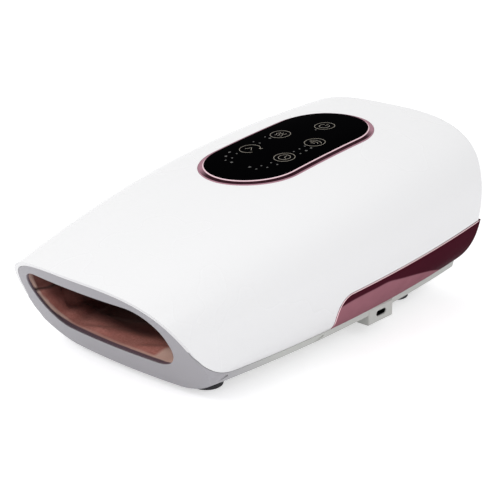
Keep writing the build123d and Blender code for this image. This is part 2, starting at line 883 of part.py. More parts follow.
# Main board on the frame's rear wall
board_front = frame_rear + standoff_length
with BuildPart() as main_board:
    with BuildSketch(Plane.XZ.offset(-board_front)):
        with Locations((0, main_board_foot + main_board_height / 2)):
            Rectangle(main_board_width, main_board_height)
        with Locations(*standoff_spots):
            Circle(touch_shank / 2 + running_gap, mode=Mode.SUBTRACT)
    extrude(amount=-board_thickness)
main_board.part.label = "main_board"
export_step(main_board.part, "parts/main_board.step")

board_screw = screw(touch_shank / 2, touch_screw_length, touch_head / 2, touch_head_height)
with BuildPart() as board_screws:
    with Locations(*[
        Location((x, board_front + board_thickness, z), (90, 0, 0)) for x, z in standoff_spots
    ]):
        add(board_screw)
board_screws.part.label = "board_screws"
export_step(board_screws.part, "parts/board_screws.step")

# Charging socket and its small board
with BuildPart() as usb_socket:
    with BuildSketch(Plane.YZ.offset(socket_back_x)):
        with Locations((port_y, socket_height)):
            SlotOverall(socket_width, socket_tall)
    extrude(amount=socket_depth)
    with BuildSketch(Plane.YZ.offset(socket_back_x + socket_wall)):
        with Locations((port_y, socket_height)):
            SlotOverall(socket_width - 2 * socket_wall, socket_tall - 2 * socket_wall)
            Rectangle(tongue_width, tongue_thickness, mode=Mode.SUBTRACT)
    extrude(amount=tongue_length, mode=Mode.SUBTRACT)
    with BuildSketch(Plane.YZ.offset(socket_back_x + socket_wall + tongue_length)):
        with Locations((port_y, socket_height)):
            SlotOverall(socket_width - 2 * socket_wall, socket_tall - 2 * socket_wall)
    extrude(amount=socket_depth, mode=Mode.SUBTRACT)
usb_socket.part.label = "usb_socket"
export_step(usb_socket.part, "parts/usb_socket.step")

with BuildPart() as usb_board:
    with Locations((usb_board_x, port_y, usb_board_foot)):
        Box(
            usb_board_thickness, usb_board_width, usb_board_top - usb_board_foot,
            align=standing,
        )
usb_board.part.label = "usb_board"
export_step(usb_board.part, "parts/usb_board.step")

# Battery: two cells in a cradle on the belly
cell_height = belly_top + cell_floor + cell_radius
cell_ys = (cell_rear_y - cell_pitch, cell_rear_y)
with BuildPart() as battery_cells:
    for cell_y in cell_ys:
        with Locations(Location((cell_middle_x, cell_y, cell_height), (0, 90, 0))):
            Cylinder(cell_radius, cell_length)
battery_cells.part.label = "battery_cells"
export_step(battery_cells.part, "parts/battery_cells.step")

with BuildPart() as battery_tray:
    with Locations((cell_middle_x, cell_rear_y - cell_pitch / 2, belly_top)):
        Box(
            cell_length + 2 * tray_margin, cell_pitch + 2 * cell_radius + 2 * tray_margin - fit_gap,
            tray_height,
            align=standing,
        )
    for cell_y in cell_ys:
        with Locations(Location((cell_middle_x, cell_y, cell_height), (0, 90, 0))):
            Cylinder(cell_radius + running_gap, cell_length + 2 * running_gap, mode=Mode.SUBTRACT)
battery_tray.part.label = "battery_tray"
export_step(battery_tray.part, "parts/battery_tray.step")

# Air pump: a motor can and a pump head on one axis along the housing, in a cradle on the belly
pump_height = belly_top + pump_floor + can_radius
head_rear = pump_front + head_length
can_rear = head_rear + can_length


def round_along(y, radius, length, mode=Mode.ADD):
    with Locations((pump_x, y, pump_height)):
        Cylinder(
            radius, length, rotation=(-90, 0, 0), align=standing, mode=mode,
        )


with BuildPart() as motor_can:
    round_along(head_rear, can_radius, can_length)
    round_along(head_rear + can_wall, can_radius - can_wall, can_length - 2 * can_wall, Mode.SUBTRACT)
    round_along(head_rear, bush_radius, can_wall, Mode.SUBTRACT)
    round_along(can_rear - can_wall, bush_radius, can_wall, Mode.SUBTRACT)
motor_can.part.label = "motor_can"
export_step(motor_can.part, "parts/motor_can.step")

with BuildPart() as motor_bushes:
    for bush_y in (head_rear, can_rear - bush_length):
        round_along(bush_y, bush_radius - running_gap, bush_length)
        round_along(bush_y, shaft_radius + shaft_gap, bush_length, Mode.SUBTRACT)
motor_bushes.part.label = "motor_bushes"
export_step(motor_bushes.part, "parts/motor_bushes.step")

armature_front = head_rear + (can_length - armature_length) / 2
crank_front = head_rear - head_wall - fit_gap - crank_length
shaft_end = can_rear - fit_gap
with BuildPart() as motor_rotor:
    round_along(crank_front, crank_radius, crank_length)
    round_along(crank_front, shaft_radius, shaft_end - crank_front)
    round_along(armature_front, armature_radius, armature_length)
    with BuildSketch(Plane.XZ.offset(-crank_front)):
        with Locations((pump_x + crank_throw, pump_height)):
            Circle(pin_radius)
    extrude(amount=pin_length)
motor_rotor.part.label = "motor_rotor"
export_step(motor_rotor.part, "parts/motor_rotor.step")

barb_y = pump_front + head_length / 2
with BuildPart() as pump_head:
    round_along(pump_front, can_radius, head_length)
    round_along(pump_front + head_wall, can_radius - head_wall, head_length - 2 * head_wall, Mode.SUBTRACT)
    round_along(head_rear - head_wall, shaft_radius + fit_gap, head_wall, Mode.SUBTRACT)
    with Locations((pump_x, barb_y, pump_height + can_radius - head_wall / 2)):
        Cylinder(barb_radius, barb_length + head_wall / 2, align=standing)
pump_head.part.label = "pump_head"
export_step(pump_head.part, "parts/pump_head.step")

with BuildPart() as pump_diaphragm:
    diaphragm_front = pump_front + head_wall + running_gap
    round_along(diaphragm_front, can_radius - head_wall - running_gap, diaphragm_thickness)
pump_diaphragm.part.label = "pump_diaphragm"
export_step(pump_diaphragm.part, "parts/pump_diaphragm.step")

with BuildPart() as pump_cradle:
    with Locations((pump_x, (pump_front + can_rear) / 2, belly_top)):
        Box(
            2 * cradle_half_width, can_rear - pump_front, pump_floor,
            align=standing,
        )
    with Locations(
        (pump_x, pump_front + cradle_length / 2, belly_top), (pump_x, can_rear - cradle_length / 2, belly_top)
    ):
        Box(
            2 * cradle_half_width, cradle_length, cradle_height,
            align=standing,
        )
    round_along(pump_front, can_radius + running_gap, can_rear - pump_front, Mode.SUBTRACT)
pump_cradle.part.label = "pump_cradle"
export_step(pump_cradle.part, "parts/pump_cradle.step")

# Exhaust valves: a body with a coil, a plunger that lifts off its seat and its return spring
valve_top = roof_high + valve_tall
plunger_foot = roof_high + valve_floor
plunger_top = plunger_foot + plunger_length
spring_top = valve_top - valve_wall
for valve_name, valve_side_x in (("valve_right", valve_x), ("valve_left", -valve_x)):
    with BuildPart() as valve_body:
        with Locations((valve_side_x, valve_y, roof_high)):
            Box(valve_side, valve_side, valve_tall, align=standing)
        with Locations((valve_side_x, valve_y, plunger_foot)):
            Cylinder(
                coil_radius + running_gap, spring_top - plunger_foot,
                align=standing, mode=Mode.SUBTRACT,
            )
        port_dir = -1 if valve_side_x > 0 else 1
        with BuildSketch(Plane.YZ.offset(valve_side_x + port_dir * (valve_side / 2 - valve_wall / 2))):
            with Locations((valve_y, roof_high + port_rise)):
                Circle(barb_radius)
        extrude(amount=port_dir * (barb_length / 2 + valve_wall / 2))
    valve_body.part.label = f"{valve_name}_body"
    export_step(valve_body.part, f"parts/{valve_name}_body.step")

    with BuildPart() as valve_coil:
        with Locations((valve_side_x, valve_y, plunger_foot)):
            Cylinder(coil_radius, coil_height, align=standing)
            Cylinder(
                coil_bore, coil_height, align=standing, mode=Mode.SUBTRACT,
            )
    valve_coil.part.label = f"{valve_name}_coil"
    export_step(valve_coil.part, f"parts/{valve_name}_coil.step")

    with BuildPart() as valve_plunger:
        with Locations((valve_side_x, valve_y, plunger_foot)):
            Cylinder(plunger_radius, plunger_length, align=standing)
    valve_plunger.part.label = f"{valve_name}_plunger"
    export_step(valve_plunger.part, f"parts/{valve_name}_plunger.step")

    spring_pitch = (spring_top - plunger_top - 2 * valve_spring_wire) / valve_spring_turns
    with BuildPart() as valve_spring:
        with BuildLine() as coil_line:
            Helix(
                spring_pitch, spring_pitch * valve_spring_turns, valve_spring_radius,
                center=(valve_side_x, valve_y, plunger_top + valve_spring_wire),
            )
        with BuildSketch(Plane(origin=coil_line.line @ 0, z_dir=coil_line.line % 0)):
            Circle(valve_spring_wire / 2)
        sweep(is_frenet=True)
    valve_spring.part.label = f"{valve_name}_spring"
    export_step(valve_spring.part, f"parts/{valve_name}_spring.step")

# Manifold between the valves, with a spigot through the roof into the bag
with BuildPart() as manifold:
    with Locations((0, valve_y, roof_high)):
        Box(manifold_length, manifold_side, manifold_side, align=standing)
    with Locations((0, valve_y, roof_low)):
        Cylinder(bag_spigot_radius, frame_wall + running_gap, align=standing)
    with BuildSketch(Plane.YZ.offset(-manifold_length / 2 - barb_length / 2)):
        with Locations((valve_y, roof_high + port_rise)):
            Circle(barb_radius)
    extrude(amount=manifold_length + barb_length)
    with BuildSketch(Plane.XZ.offset(-valve_y)):
        with Locations((0, roof_high + port_rise)):
            Circle(barb_radius)
    extrude(amount=-manifold_side / 2 - barb_length)
manifold.part.label = "manifold"
export_step(manifold.part, "parts/manifold.step")


# A hose along a path, open along its bore
def hose(points, bends):
    with BuildPart() as tube:
        with BuildLine() as path:
            if bends:
                FilletPolyline(*points, radius=bends)
            else:
                Polyline(*points)
        with BuildSketch(Plane(origin=path.line @ 0, z_dir=path.line % 0)):
            Circle(hose_radius)
            Circle(hose_bore, mode=Mode.SUBTRACT)
        sweep()
    return tube.part


valve_inner_x = valve_x - valve_side / 2
port_height = roof_high + port_rise
with BuildPart() as valve_hoses:
    for side in both_sides:
        add(hose([
            (side * (manifold_length / 2 + running_gap), valve_y, port_height),
            (side * (valve_inner_x - running_gap), valve_y, port_height),
        ], None))
valve_hoses.part.label = "valve_hoses"
export_step(valve_hoses.part, "parts/valve_hoses.step")

hose_start = (pump_x, barb_y, pump_height + can_radius + running_gap)
hose_end = (0, valve_y + manifold_side / 2 + running_gap, port_height)
pump_hose_part = hose([
    hose_start, (pump_x, barb_y, port_height), (0, barb_y, port_height), hose_end,
], hose_bend)
with BuildPart() as pump_hose:
    add(pump_hose_part)
pump_hose.part.label = "pump_hose"
export_step(pump_hose.part, "parts/pump_hose.step")
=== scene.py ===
import json
import math

import bpy
import numpy as np
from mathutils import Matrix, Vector


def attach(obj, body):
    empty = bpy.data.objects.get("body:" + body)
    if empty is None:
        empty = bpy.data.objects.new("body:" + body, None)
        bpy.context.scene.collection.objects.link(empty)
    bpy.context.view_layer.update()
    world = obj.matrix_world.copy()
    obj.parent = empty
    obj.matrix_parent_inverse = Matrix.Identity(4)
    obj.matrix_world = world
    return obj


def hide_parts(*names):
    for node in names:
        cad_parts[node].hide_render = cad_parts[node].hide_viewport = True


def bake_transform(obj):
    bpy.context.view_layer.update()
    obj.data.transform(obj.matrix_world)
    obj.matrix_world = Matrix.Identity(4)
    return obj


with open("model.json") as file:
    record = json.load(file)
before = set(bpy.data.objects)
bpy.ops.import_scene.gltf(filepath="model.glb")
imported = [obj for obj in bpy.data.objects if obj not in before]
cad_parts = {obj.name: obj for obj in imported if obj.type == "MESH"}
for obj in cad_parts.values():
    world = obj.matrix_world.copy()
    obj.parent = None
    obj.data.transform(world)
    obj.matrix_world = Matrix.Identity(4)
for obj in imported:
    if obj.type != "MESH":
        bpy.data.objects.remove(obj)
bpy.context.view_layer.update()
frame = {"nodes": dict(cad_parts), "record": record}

# Hand massager with an air-pressed hand chamber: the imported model's finishes, its cloth and its trim.
# Lengths in the dictionaries are millimetres, turned to metres by mm.
mm = 0.001
doubleReach = 0.02     # vertices closer than this are one
arcPoints = 25
nodes = frame["nodes"]
print("frame loaded:", len(nodes), "nodes")


# Camera, floor and light

viewpoint = {
    "target": (1.5, 0.7, 43.7),
    "distance": 791.7,
    "azimuth": 41.83,
    "elevation": 20.23,
    "lens": 98.3,
    "sensor": 36,
    "nearest": 50,
    "farthest": 50000,
}

studio = {
    "floorSize": 9000,
    "floorColour": "#e8e8ea",
    "floorGlow": 0.52,       # what a camera ray sees on top of the lit floor, so that it reads white
    "skyForLight": 0.68,
    "keyPower": 5.1,
    "keySize": 900,
    "keyPlace": (-430, -950, 930),
    "sidePower": 2.8,
    "sideSize": 700,
    "sidePlace": (1000, -300, 700),
}


def hexColour(code):
    # sRGB to linear, with full alpha
    share = np.array([int(code[i:i + 2], 16) for i in (1, 3, 5)]) / 255
    linear = np.where(share <= 0.04045, share / 12.92, ((share + 0.055) / 1.055) ** 2.4)
    return (*linear.tolist(), 1.0)


def addNode(tree, kind, sockets=None, **settings):
    # one shader node: its settings, then each socket, linked where the value is another node's output,
    # or another node, which stands for its first output
    made = tree.nodes.new("ShaderNode" + kind)
    for name, value in settings.items():
        setattr(made, name, value)
    for name, value in (sockets or {}).items():
        value = value.outputs[0] if isinstance(value, bpy.types.Node) else value
        if isinstance(value, bpy.types.NodeSocket):
            tree.links.new(value, made.inputs[name])
        else:
            made.inputs[name].default_value = value
    return made


def emptyMaterial(name):
    material = bpy.data.materials.new(name)
    material.use_nodes = True
    material.node_tree.nodes.clear()
    return material, material.node_tree


def closeMaterial(tree, shader):
    addNode(tree, "OutputMaterial", {"Surface": shader})


def placeCamera():
    azimuth, elevation = math.radians(viewpoint["azimuth"]), math.radians(viewpoint["elevation"])
    back = Vector((
        math.sin(azimuth) * math.cos(elevation),
        -math.cos(azimuth) * math.cos(elevation),
        math.sin(elevation),
    ))
    lens = bpy.data.cameras.new("photoLens")
    lens.lens = viewpoint["lens"]
    lens.sensor_width = viewpoint["sensor"]
    lens.clip_start, lens.clip_end = viewpoint["nearest"] * mm, viewpoint["farthest"] * mm
    camera = bpy.data.objects.new("photoCamera", lens)
    camera.location = Vector(viewpoint["target"]) * mm + back * viewpoint["distance"] * mm
    camera.rotation_mode = "QUATERNION"
    camera.rotation_quaternion = (-back).to_track_quat("-Z", "Y")
    bpy.context.scene.collection.objects.link(camera)
    bpy.context.scene.camera = camera


def seenRay(tree):
    # 1 for rays that go to the eye, straight, by gloss or through glass, else 0
    path = addNode(tree, "LightPath")
    seen = path.outputs["Is Camera Ray"]
    for kind in ("Is Glossy Ray", "Is Transmission Ray"):
        seen = addNode(tree, "Math", {0: seen, 1: path.outputs[kind]}, operation="MAXIMUM")
    return seen


def makeStudio():
    half = studio["floorSize"] / 2 * mm
    corners = [(-half, -half, 0), (half, -half, 0), (half, half, 0), (-half, half, 0)]
    mesh = bpy.data.meshes.new("floor")
    mesh.from_pydata(corners, [], [(0, 1, 2, 3)])
    floor = bpy.data.objects.new("floor", mesh)
    bpy.context.scene.collection.objects.link(floor)
    # matt background paper, which also glows for the eye alone
    material, tree = emptyMaterial("pale paper sweep")
    lit = addNode(tree, "BsdfDiffuse", {"Color": hexColour(studio["floorColour"])})
    strength = addNode(tree, "Math", {0: seenRay(tree), 1: studio["floorGlow"]}, operation="MULTIPLY")
    glow = addNode(tree, "Emission", {"Strength": strength})
    closeMaterial(tree, addNode(tree, "AddShader", {0: lit, 1: glow}))
    floor.data.materials.append(material)

    world = bpy.data.worlds.new("white room")
    bpy.context.scene.world = world
    world.use_nodes = True
    tree = world.node_tree
    tree.nodes.clear()
    level = addNode(tree, "MapRange", {
        "Value": seenRay(tree), "To Min": studio["skyForLight"], "To Max": 1.0})
    room = addNode(tree, "Background", {"Color": (1, 1, 1, 1), "Strength": level})
    addNode(tree, "OutputWorld", {"Surface": room})

    for name in ("key", "side"):
        lamp = bpy.data.lights.new(name + "Softbox", "AREA")
        lamp.shape = "DISK"
        lamp.size = studio[name + "Size"] * mm
        lamp.energy = studio[name + "Power"]
        holder = bpy.data.objects.new(name + "Softbox", lamp)
        holder.location = Vector(studio[name + "Place"]) * mm
        holder.rotation_euler = (-holder.location).to_track_quat("-Z", "Y").to_euler()
        bpy.context.scene.collection.objects.link(holder)


placeCamera()
makeStudio()
bpy.context.scene.view_settings.view_transform = "Standard"
print("studio ready")


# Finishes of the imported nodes

# the mouth's front face: y at its top, its lean from the upright, and its bow over the width
mouthFace = {"front": -137.25, "lean": 31.37, "top": 66.9, "bow": 6.5, "bowWidth": 73}
# the opening's wall lies within this half width and between these heights. Its painted shade begins this far
# behind the face and comes in over the blur
mouthWall = {"halfWidth": 52.0, "low": 18.6, "high": 57.2, "from": 0.25, "blur": 0.7}

plasticWander = 0.03     # how far a roughness wanders to each side of its value
metalWander = 0.06
grainDepth = 0.2         # the grain's depth as a share of its width


def wallShadeShare(tree, axes):
    # 1 where shade is painted on the wall of the mouth's opening: behind the leaning face, and within the
    # opening's outline.
    # y + tan(lean) * z - bow * (x / bowWidth)^2 is constant over the face
    lean = math.tan(math.radians(mouthFace["lean"]))
    level = (mouthFace["front"] + lean * mouthFace["top"]) * mm
    bend = -mouthFace["bow"] / (mouthFace["bowWidth"] ** 2 * mm)
    x, y, z = (axes.outputs[axis] for axis in "XYZ")
    tilted = addNode(tree, "Math", {0: z, 1: lean, 2: y}, operation="MULTIPLY_ADD")
    squared = addNode(tree, "Math", {0: x, 1: x}, operation="MULTIPLY")
    depth = addNode(tree, "Math", {0: squared, 1: bend, 2: tilted}, operation="MULTIPLY_ADD")
    share = addNode(tree, "MapRange", {
        "Value": depth, "From Min": level + mouthWall["from"] * mm,
        "From Max": level + (mouthWall["from"] + mouthWall["blur"]) * mm})
    side = addNode(tree, "Math", {0: x}, operation="ABSOLUTE")
    for value, limit, test in (
            (side, "halfWidth", "LESS_THAN"), (z, "low", "GREATER_THAN"), (z, "high", "LESS_THAN")):
        inside = addNode(tree, "Math", {0: value, 1: mouthWall[limit] * mm}, operation=test)
        share = addNode(tree, "Math", {0: share, 1: inside}, operation="MULTIPLY")
    return share


def unevenSurface(tree, place, size, detail, colours, roughness):
    # one noise mixes two colours and moves the roughness between two values
    noise = addNode(tree, "TexNoise", {"Vector": place, "Scale": 1 / (size * mm), "Detail": detail})
    colour = addNode(tree, "Mix", {
        "Factor": noise, 6: hexColour(colours[0]), 7: hexColour(colours[1])}, data_type="RGBA")
    return colour, addNode(tree, "MapRange", {"Value": noise, "To Min": roughness[0], "To Max": roughness[1]})


def mouldedPlastic(name, look):
    # injection-moulded plastic: one even colour with a slow drift, and the mould's fine grain
    material, tree = emptyMaterial(name)
    place = addNode(tree, "TexCoord").outputs["Object"]
    rough = (look["roughness"] - plasticWander, look["roughness"] + plasticWander)
    colour, roughness = unevenSurface(tree, place, look["drift"], 2.0, (look["colour"], look["shade"]), rough)
    if "rearColour" in look:
        axes = addNode(tree, "SeparateXYZ", {"Vector": place})
        behind = addNode(tree, "MapRange", {
            "Value": axes.outputs["Y"], "From Min": look["fadeFrom"] * mm, "From Max": look["fadeTo"] * mm})
        # the grey lightens towards the rear, and the opening's wall takes painted shade
        for share, tint in ((behind, "rearColour"), (wallShadeShare(tree, axes), "wallShadeColour")):
            colour = addNode(tree, "Mix", {
                "Factor": share, 6: colour.outputs[2], 7: hexColour(look[tint])}, data_type="RGBA")
    grain = addNode(tree, "TexNoise", {"Vector": place, "Scale": 1 / (look["grain"] * mm), "Detail": 2.0})
    bump = addNode(tree, "Bump", {
        "Height": grain, "Strength": look["bump"], "Distance": look["grain"] * mm * grainDepth})
    closeMaterial(tree, addNode(tree, "BsdfPrincipled", {
        "Base Color": colour.outputs[2], "Roughness": roughness, "IOR": 1.5,
        "Specular IOR Level": look.get("specular", 0.5), "Coat Weight": look.get("coat", 0.0),
        "Coat Roughness": 0.06, "Normal": bump}))
    return material


def brightMetal(name, look):
    # metal, plated or drawn: a faint streaked roughness along its length
    material, tree = emptyMaterial(name)
    place = addNode(tree, "TexCoord").outputs["Object"]
    stretched = addNode(tree, "Mapping", {"Vector": place, "Scale": look["stretch"]})
    streaks = addNode(tree, "TexNoise", {
        "Vector": stretched, "Scale": 1 / (look["grain"] * mm), "Detail": 3.0})
    roughness = addNode(tree, "MapRange", {
        "Value": streaks, "To Min": look["roughness"] - metalWander,
        "To Max": look["roughness"] + metalWander})
    closeMaterial(tree, addNode(tree, "BsdfPrincipled", {
        "Base Color": hexColour(look["colour"]), "Metallic": 1.0, "Roughness": roughness}))
    return material


plasticLooks = {
    "white ABS, polished": {
        "colour": "#f5f5f6", "shade": "#f4f4f5", "roughness": 0.27, "drift": 60, "grain": 1.6, "bump": 0.05,
        "coat": 0.25},
    "grey ABS, fine matt": {
        "colour": "#adabb0", "shade": "#a8a6ab", "roughness": 0.46, "drift": 40, "grain": 0.8, "bump": 0.25,
        # the grey turns lighter and warmer from the mouth's face to the base behind it, and its opening's wall
        # is darkened with painted shade
        "rearColour": "#c5c6c2", "fadeFrom": -97, "fadeTo": -52, "wallShadeColour": "#74626f"},
    "black tinted glass": {
        "colour": "#020203", "shade": "#030304", "roughness": 0.08, "drift": 50, "grain": 6, "bump": 0.01,
        "specular": 0.0002},
    "foot rubber": {
        "colour": "#2c2a2d", "shade": "#353338", "roughness": 0.8, "drift": 8, "grain": 0.9, "bump": 0.5},
    "black ABS, spark grain": {
        "colour": "#2b2b2e", "shade": "#333336", "roughness": 0.5, "drift": 20, "grain": 0.8, "bump": 0.3},
    "green solder mask": {
        "colour": "#1c5a38", "shade": "#174c30", "roughness": 0.35, "drift": 5, "grain": 1.5, "bump": 0.2},
    "polyimide heating film": {
        "colour": "#8a4a18", "shade": "#7a3e12", "roughness": 0.3, "drift": 10, "grain": 2, "bump": 0.1},
    "PVC cell wrap": {
        "colour": "#2a5f9e", "shade": "#25558f", "roughness": 0.3, "drift": 15, "grain": 2, "bump": 0.1},
    "silicone hose": {
        "colour": "#d8d6d0", "shade": "#cccac4", "roughness": 0.5, "drift": 10, "grain": 1, "bump": 0.15},
    "red-brown microfibre": {
        "colour": "#7a4a44", "shade": "#6a3c38", "roughness": 0.9, "drift": 12, "grain": 0.8, "bump": 0.6},
    "clear film": {
        "colour": "#b8b4ae", "shade": "#aaa6a0", "roughness": 0.3, "drift": 12, "grain": 3, "bump": 0.2},
}

metalLooks = {
    "rose metallised ring": {"colour": "#e6c0c8", "roughness": 0.24, "grain": 1.5, "stretch": (1, 1, 1)},
    "rose mirror inlay": {"colour": "#7a4654", "roughness": 0.14, "grain": 8, "stretch": (1, 1, 1)},
    "zinc-plated steel": {"colour": "#b9bbbd", "roughness": 0.32, "grain": 0.8, "stretch": (1, 1, 0.2)},
    "nickel-plated can": {"colour": "#c6c4be", "roughness": 0.25, "grain": 1.2, "stretch": (1, 0.1, 1)},
    # the socket steel is darkened as painted shade inside the port
    "socket steel, darkened as painted shade": {"colour": "#38383a", "roughness": 0.38, "grain": 0.8, "stretch": (1, 1, 1)},
    "turned brass": {"colour": "#c9a24f", "roughness": 0.28, "grain": 0.6, "stretch": (1, 0.2, 1)},
    "laminated rotor steel": {"colour": "#8d8f92", "roughness": 0.4, "grain": 0.5, "stretch": (0.2, 1, 0.2)},
    "enamelled copper winding": {
        "colour": "#b8683a", "roughness": 0.3, "grain": 0.4, "stretch": (0.1, 0.1, 1)},
    "drawn spring steel": {"colour": "#a8aaad", "roughness": 0.3, "grain": 0.6, "stretch": (1, 1, 0.2)},
}

finishes = {name: mouldedPlastic(name, look) for name, look in plasticLooks.items()}
finishes.update({name: brightMetal(name, look) for name, look in metalLooks.items()})

slotFinishes = {
    "white_shell": "white ABS, polished", "grey_shell": "grey ABS, fine matt",
    "rose_ring": "rose metallised ring", "black_glass": "black tinted glass",
    "inlay_mirror": "rose mirror inlay", "circuit_board": "green solder mask",
    "screw_steel": "zinc-plated steel", "foot_rubber": "foot rubber",
    "liner_fabric": "red-brown microfibre", "bag_film": "clear film", "film": "polyimide heating film",
    "inner_plastic": "black ABS, spark grain", "cell_wrap": "PVC cell wrap",
    "can_steel": "nickel-plated can", "bush_brass": "turned brass",
    "rotor_steel": "laminated rotor steel", "hose_rubber": "silicone hose",
    "socket_steel": "socket steel, darkened as painted shade", "coil_copper": "enamelled copper winding",
    "spring_steel": "drawn spring steel",
}

for part in frame["record"]["subparts"]:
    surface = nodes[part["node"]].data.materials
    surface.clear()
    surface.append(finishes[slotFinishes[part["material_slot"]]])
print("finishes set")


# Surfaces worked out on grids

def pointsOf(mesh):
    # a mesh's vertices in metres, as rows of x, y and z
    flat = np.empty(3 * len(mesh.vertices), np.float32)
    mesh.vertices.foreach_get("co", flat)
    return flat.reshape(-1, 3).astype(float)


def fittedSkin(node, axes, uPowers, vPowers, spans, depth):
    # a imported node's outer skin, w = sum of a * (u / span)^i * (v / span)^j, where axes picks u, v and w
    points = pointsOf(nodes[node].data)[:, axes] / mm

    def terms(u, v):
        return np.stack([
            (u / spans[0]) ** i * (v / spans[1]) ** j for i in uPowers for j in vPowers], -1)

    for _ in range(3):    # each pass keeps what lies on or outside the fit, which leaves the outer skin
        u, v, w = points.T
        weights = np.linalg.lstsq(terms(u, v), w, rcond=None)[0]
        points = points[w > terms(u, v) @ weights - depth]
    return lambda u, v: terms(u, v) @ weights


def joinedMesh(name, grids, finish, wrapRows=False, wrapColumns=False):
    # each grid is rows x columns of points in mm; neighbours are joined into quads
    points, quads, start = [], [], 0
    for grid in grids:
        rows, columns = grid.shape[:2]
        index = start + np.arange(rows * columns).reshape(rows, columns)
        index = np.vstack([index, index[:1]]) if wrapRows else index
        index = np.hstack([index, index[:, :1]]) if wrapColumns else index
        corners = [index[:-1, :-1], index[1:, :-1], index[1:, 1:], index[:-1, 1:]]
        quads.append(np.stack(corners, -1).reshape(-1, 4))
        points.append(grid.reshape(-1, 3))
        start += rows * columns
    mesh = bpy.data.meshes.new(name)
    mesh.from_pydata((np.concatenate(points) * mm).tolist(), [], np.concatenate(quads).tolist())
    mesh.shade_smooth()
    mesh.materials.append(finish)
    made = bpy.data.objects.new(name, mesh)
    bpy.context.scene.collection.objects.link(made)
    return made


def bakeModifiers(made):
    # the mesh as its modifiers leave it takes the place of the plain one
    settled = made.evaluated_get(bpy.context.evaluated_depsgraph_get())
    finished = bpy.data.meshes.new_from_object(settled)
    made.modifiers.clear()
    made.data = finished


def mergeDoubles(made):
    merge = made.modifiers.new("merge", "WELD")
    merge.merge_threshold = doubleReach * mm
    bakeModifiers(made)


def roundedPath(corners, radii, step, closed=True):
    # straight runs joined by arcs, corner by corner: centre + radius * (cos, sin), then evenly spaced
    corners, radii = np.asarray(corners, float), np.asarray(radii, float)
    coming = corners - np.roll(corners, 1, axis=0)
    coming /= np.linalg.norm(coming, axis=1)[:, None]
    going = np.roll(coming, -1, axis=0)
    crossing = coming[:, 0] * going[:, 1] - coming[:, 1] * going[:, 0]
    turn = np.arctan2(crossing, (coming * going).sum(1))
    start = corners - coming * (radii * np.tan(np.abs(turn) / 2))[:, None]
    inward = np.stack([-coming[:, 1], coming[:, 0]], -1) * np.sign(turn)[:, None]
    swing = turn[:, None] * np.linspace(0, 1, arcPoints)
    angle = np.arctan2(-inward[:, 1], -inward[:, 0])[:, None] + swing
    middle = (start + inward * radii[:, None])[:, None]
    arcs = middle + radii[:, None, None] * np.stack([np.cos(angle), np.sin(angle)], -1)
    path = arcs.reshape(-1, 2)
    path = np.vstack([path, path[:1]]) if closed else path
    length = np.concatenate([[0], np.cumsum(np.linalg.norm(np.diff(path, axis=0), axis=1))])
    along = np.linspace(0, length[-1], round(length[-1] / step), endpoint=not closed)
    return np.stack([np.interp(along, length, path[:, i]) for i in (0, 1)], -1)


def subdivide(made):
    smooth = made.modifiers.new("smooth", "SUBSURF")
    smooth.levels = smooth.render_levels = 1


def leftOf(path):
    # the unit normal to the left of a flat path, at each point
    along = np.gradient(path, axis=0)
    return np.stack([-along[:, 1], along[:, 0]], -1) / np.linalg.norm(along, axis=1)[:, None]


def storeOnPoints(made, name, values):
    # a number for each vertex, which a material reads by its name
    layer = made.data.attributes.new(name, "FLOAT", "POINT")
    layer.data.foreach_set("value", np.asarray(values, np.float32).ravel())


# Touch panel: the frame round the glass, and the printed marks on it

panel = {
    "middleY": 35.4,
    "halfLength": 61.8,
    "halfWidth": 32.5,
    "glassProud": 1.3,
    "sideSteps": 40,
    "endSteps": 80,
    # across the frame from its outer edge: inward distance, height over the shell, and painted reflection tone
    # (0 nearly black wine, 0.5 dusty rose, 1 bright lip)
    "ringProfile": [
        (0.0, -1.9, 0.5), (0.0, 0.12, 0.5), (0.1, 0.3, 0.5), (0.3, 0.4, 0.45), (0.45, 0.41, 0.3),
        (0.55, 0.4, 0.0), (1.0, 0.32, 0.0), (1.5, 0.3, 0.0), (2.1, 0.4, 0.0), (2.45, 0.62, 0.0),
        (2.7, 0.9, 0.0), (2.8, 1.03, 0.9), (2.95, 1.16, 1.0), (3.15, 1.29, 1.0), (3.28, 1.37, 1.0),
        (3.34, 1.38, 0.9), (3.4, 1.3, 0.2), (3.4, -1.9, 0.2)],
    # the polished frame's tones are those of its reflections in the photo: the hollow is dark round this
    # compass side and dusty past the first angle from it, and the lip is dim past the second
    "darkSide": -48, "dustyPast": (62, 82), "dustyTone": 0.45, "dimPast": (100, 118), "dimShare": 0.25,
    "toneStops": ((0.02, "#2a0c16"), (0.53, "#b48795"), (1.0, "#f4d5dc")),
    "toneDrift": 0.06, "toneDriftSize": 6,
    "markLift": 0.06, "markWidth": 0.28, "markDepth": 0.07,
    "iconRadius": 6.1, "openRing": (25, 325), "ringSteps": 72,
    "dotRadius": 0.58, "wideDot": 1.45, "dotStroke": 0.9, "dotSteps": 16,
    "wideDots": (0, 2, 5, 7, 12, 14, 21),    # the ones drawn larger
    "printGrain": 0.5, "printRoughness": (0.35, 0.5),
}

glassTop = fittedSkin("panel_glass", (0, 1, 2), (0, 2, 4, 6), range(5), (50, 50), 0.15)


def stadiumGrid(offsets, heights):
    # a closed run round the panel's stadium, drawn in by each offset: a side, an end, a side, an end.
    # Heights are over the shell, which lies under the glass's top
    straight = panel["halfLength"] - panel["halfWidth"]
    along = np.linspace(-straight, straight, panel["sideSteps"], endpoint=False)
    turn = np.linspace(0, np.pi, panel["endSteps"], endpoint=False)
    angle = np.concatenate([0 * along, turn, 0 * along + np.pi, turn + np.pi])
    middle = np.concatenate([along, 0 * turn + straight, -along, 0 * turn - straight])
    reach = (panel["halfWidth"] - np.asarray(offsets))[:, None]
    x = reach * np.cos(angle)
    y = panel["middleY"] + middle + reach * np.sin(angle)
    z = glassTop(x, y) - panel["glassProud"] + np.asarray(heights)[:, None]
    return np.stack([x, y, z], -1)


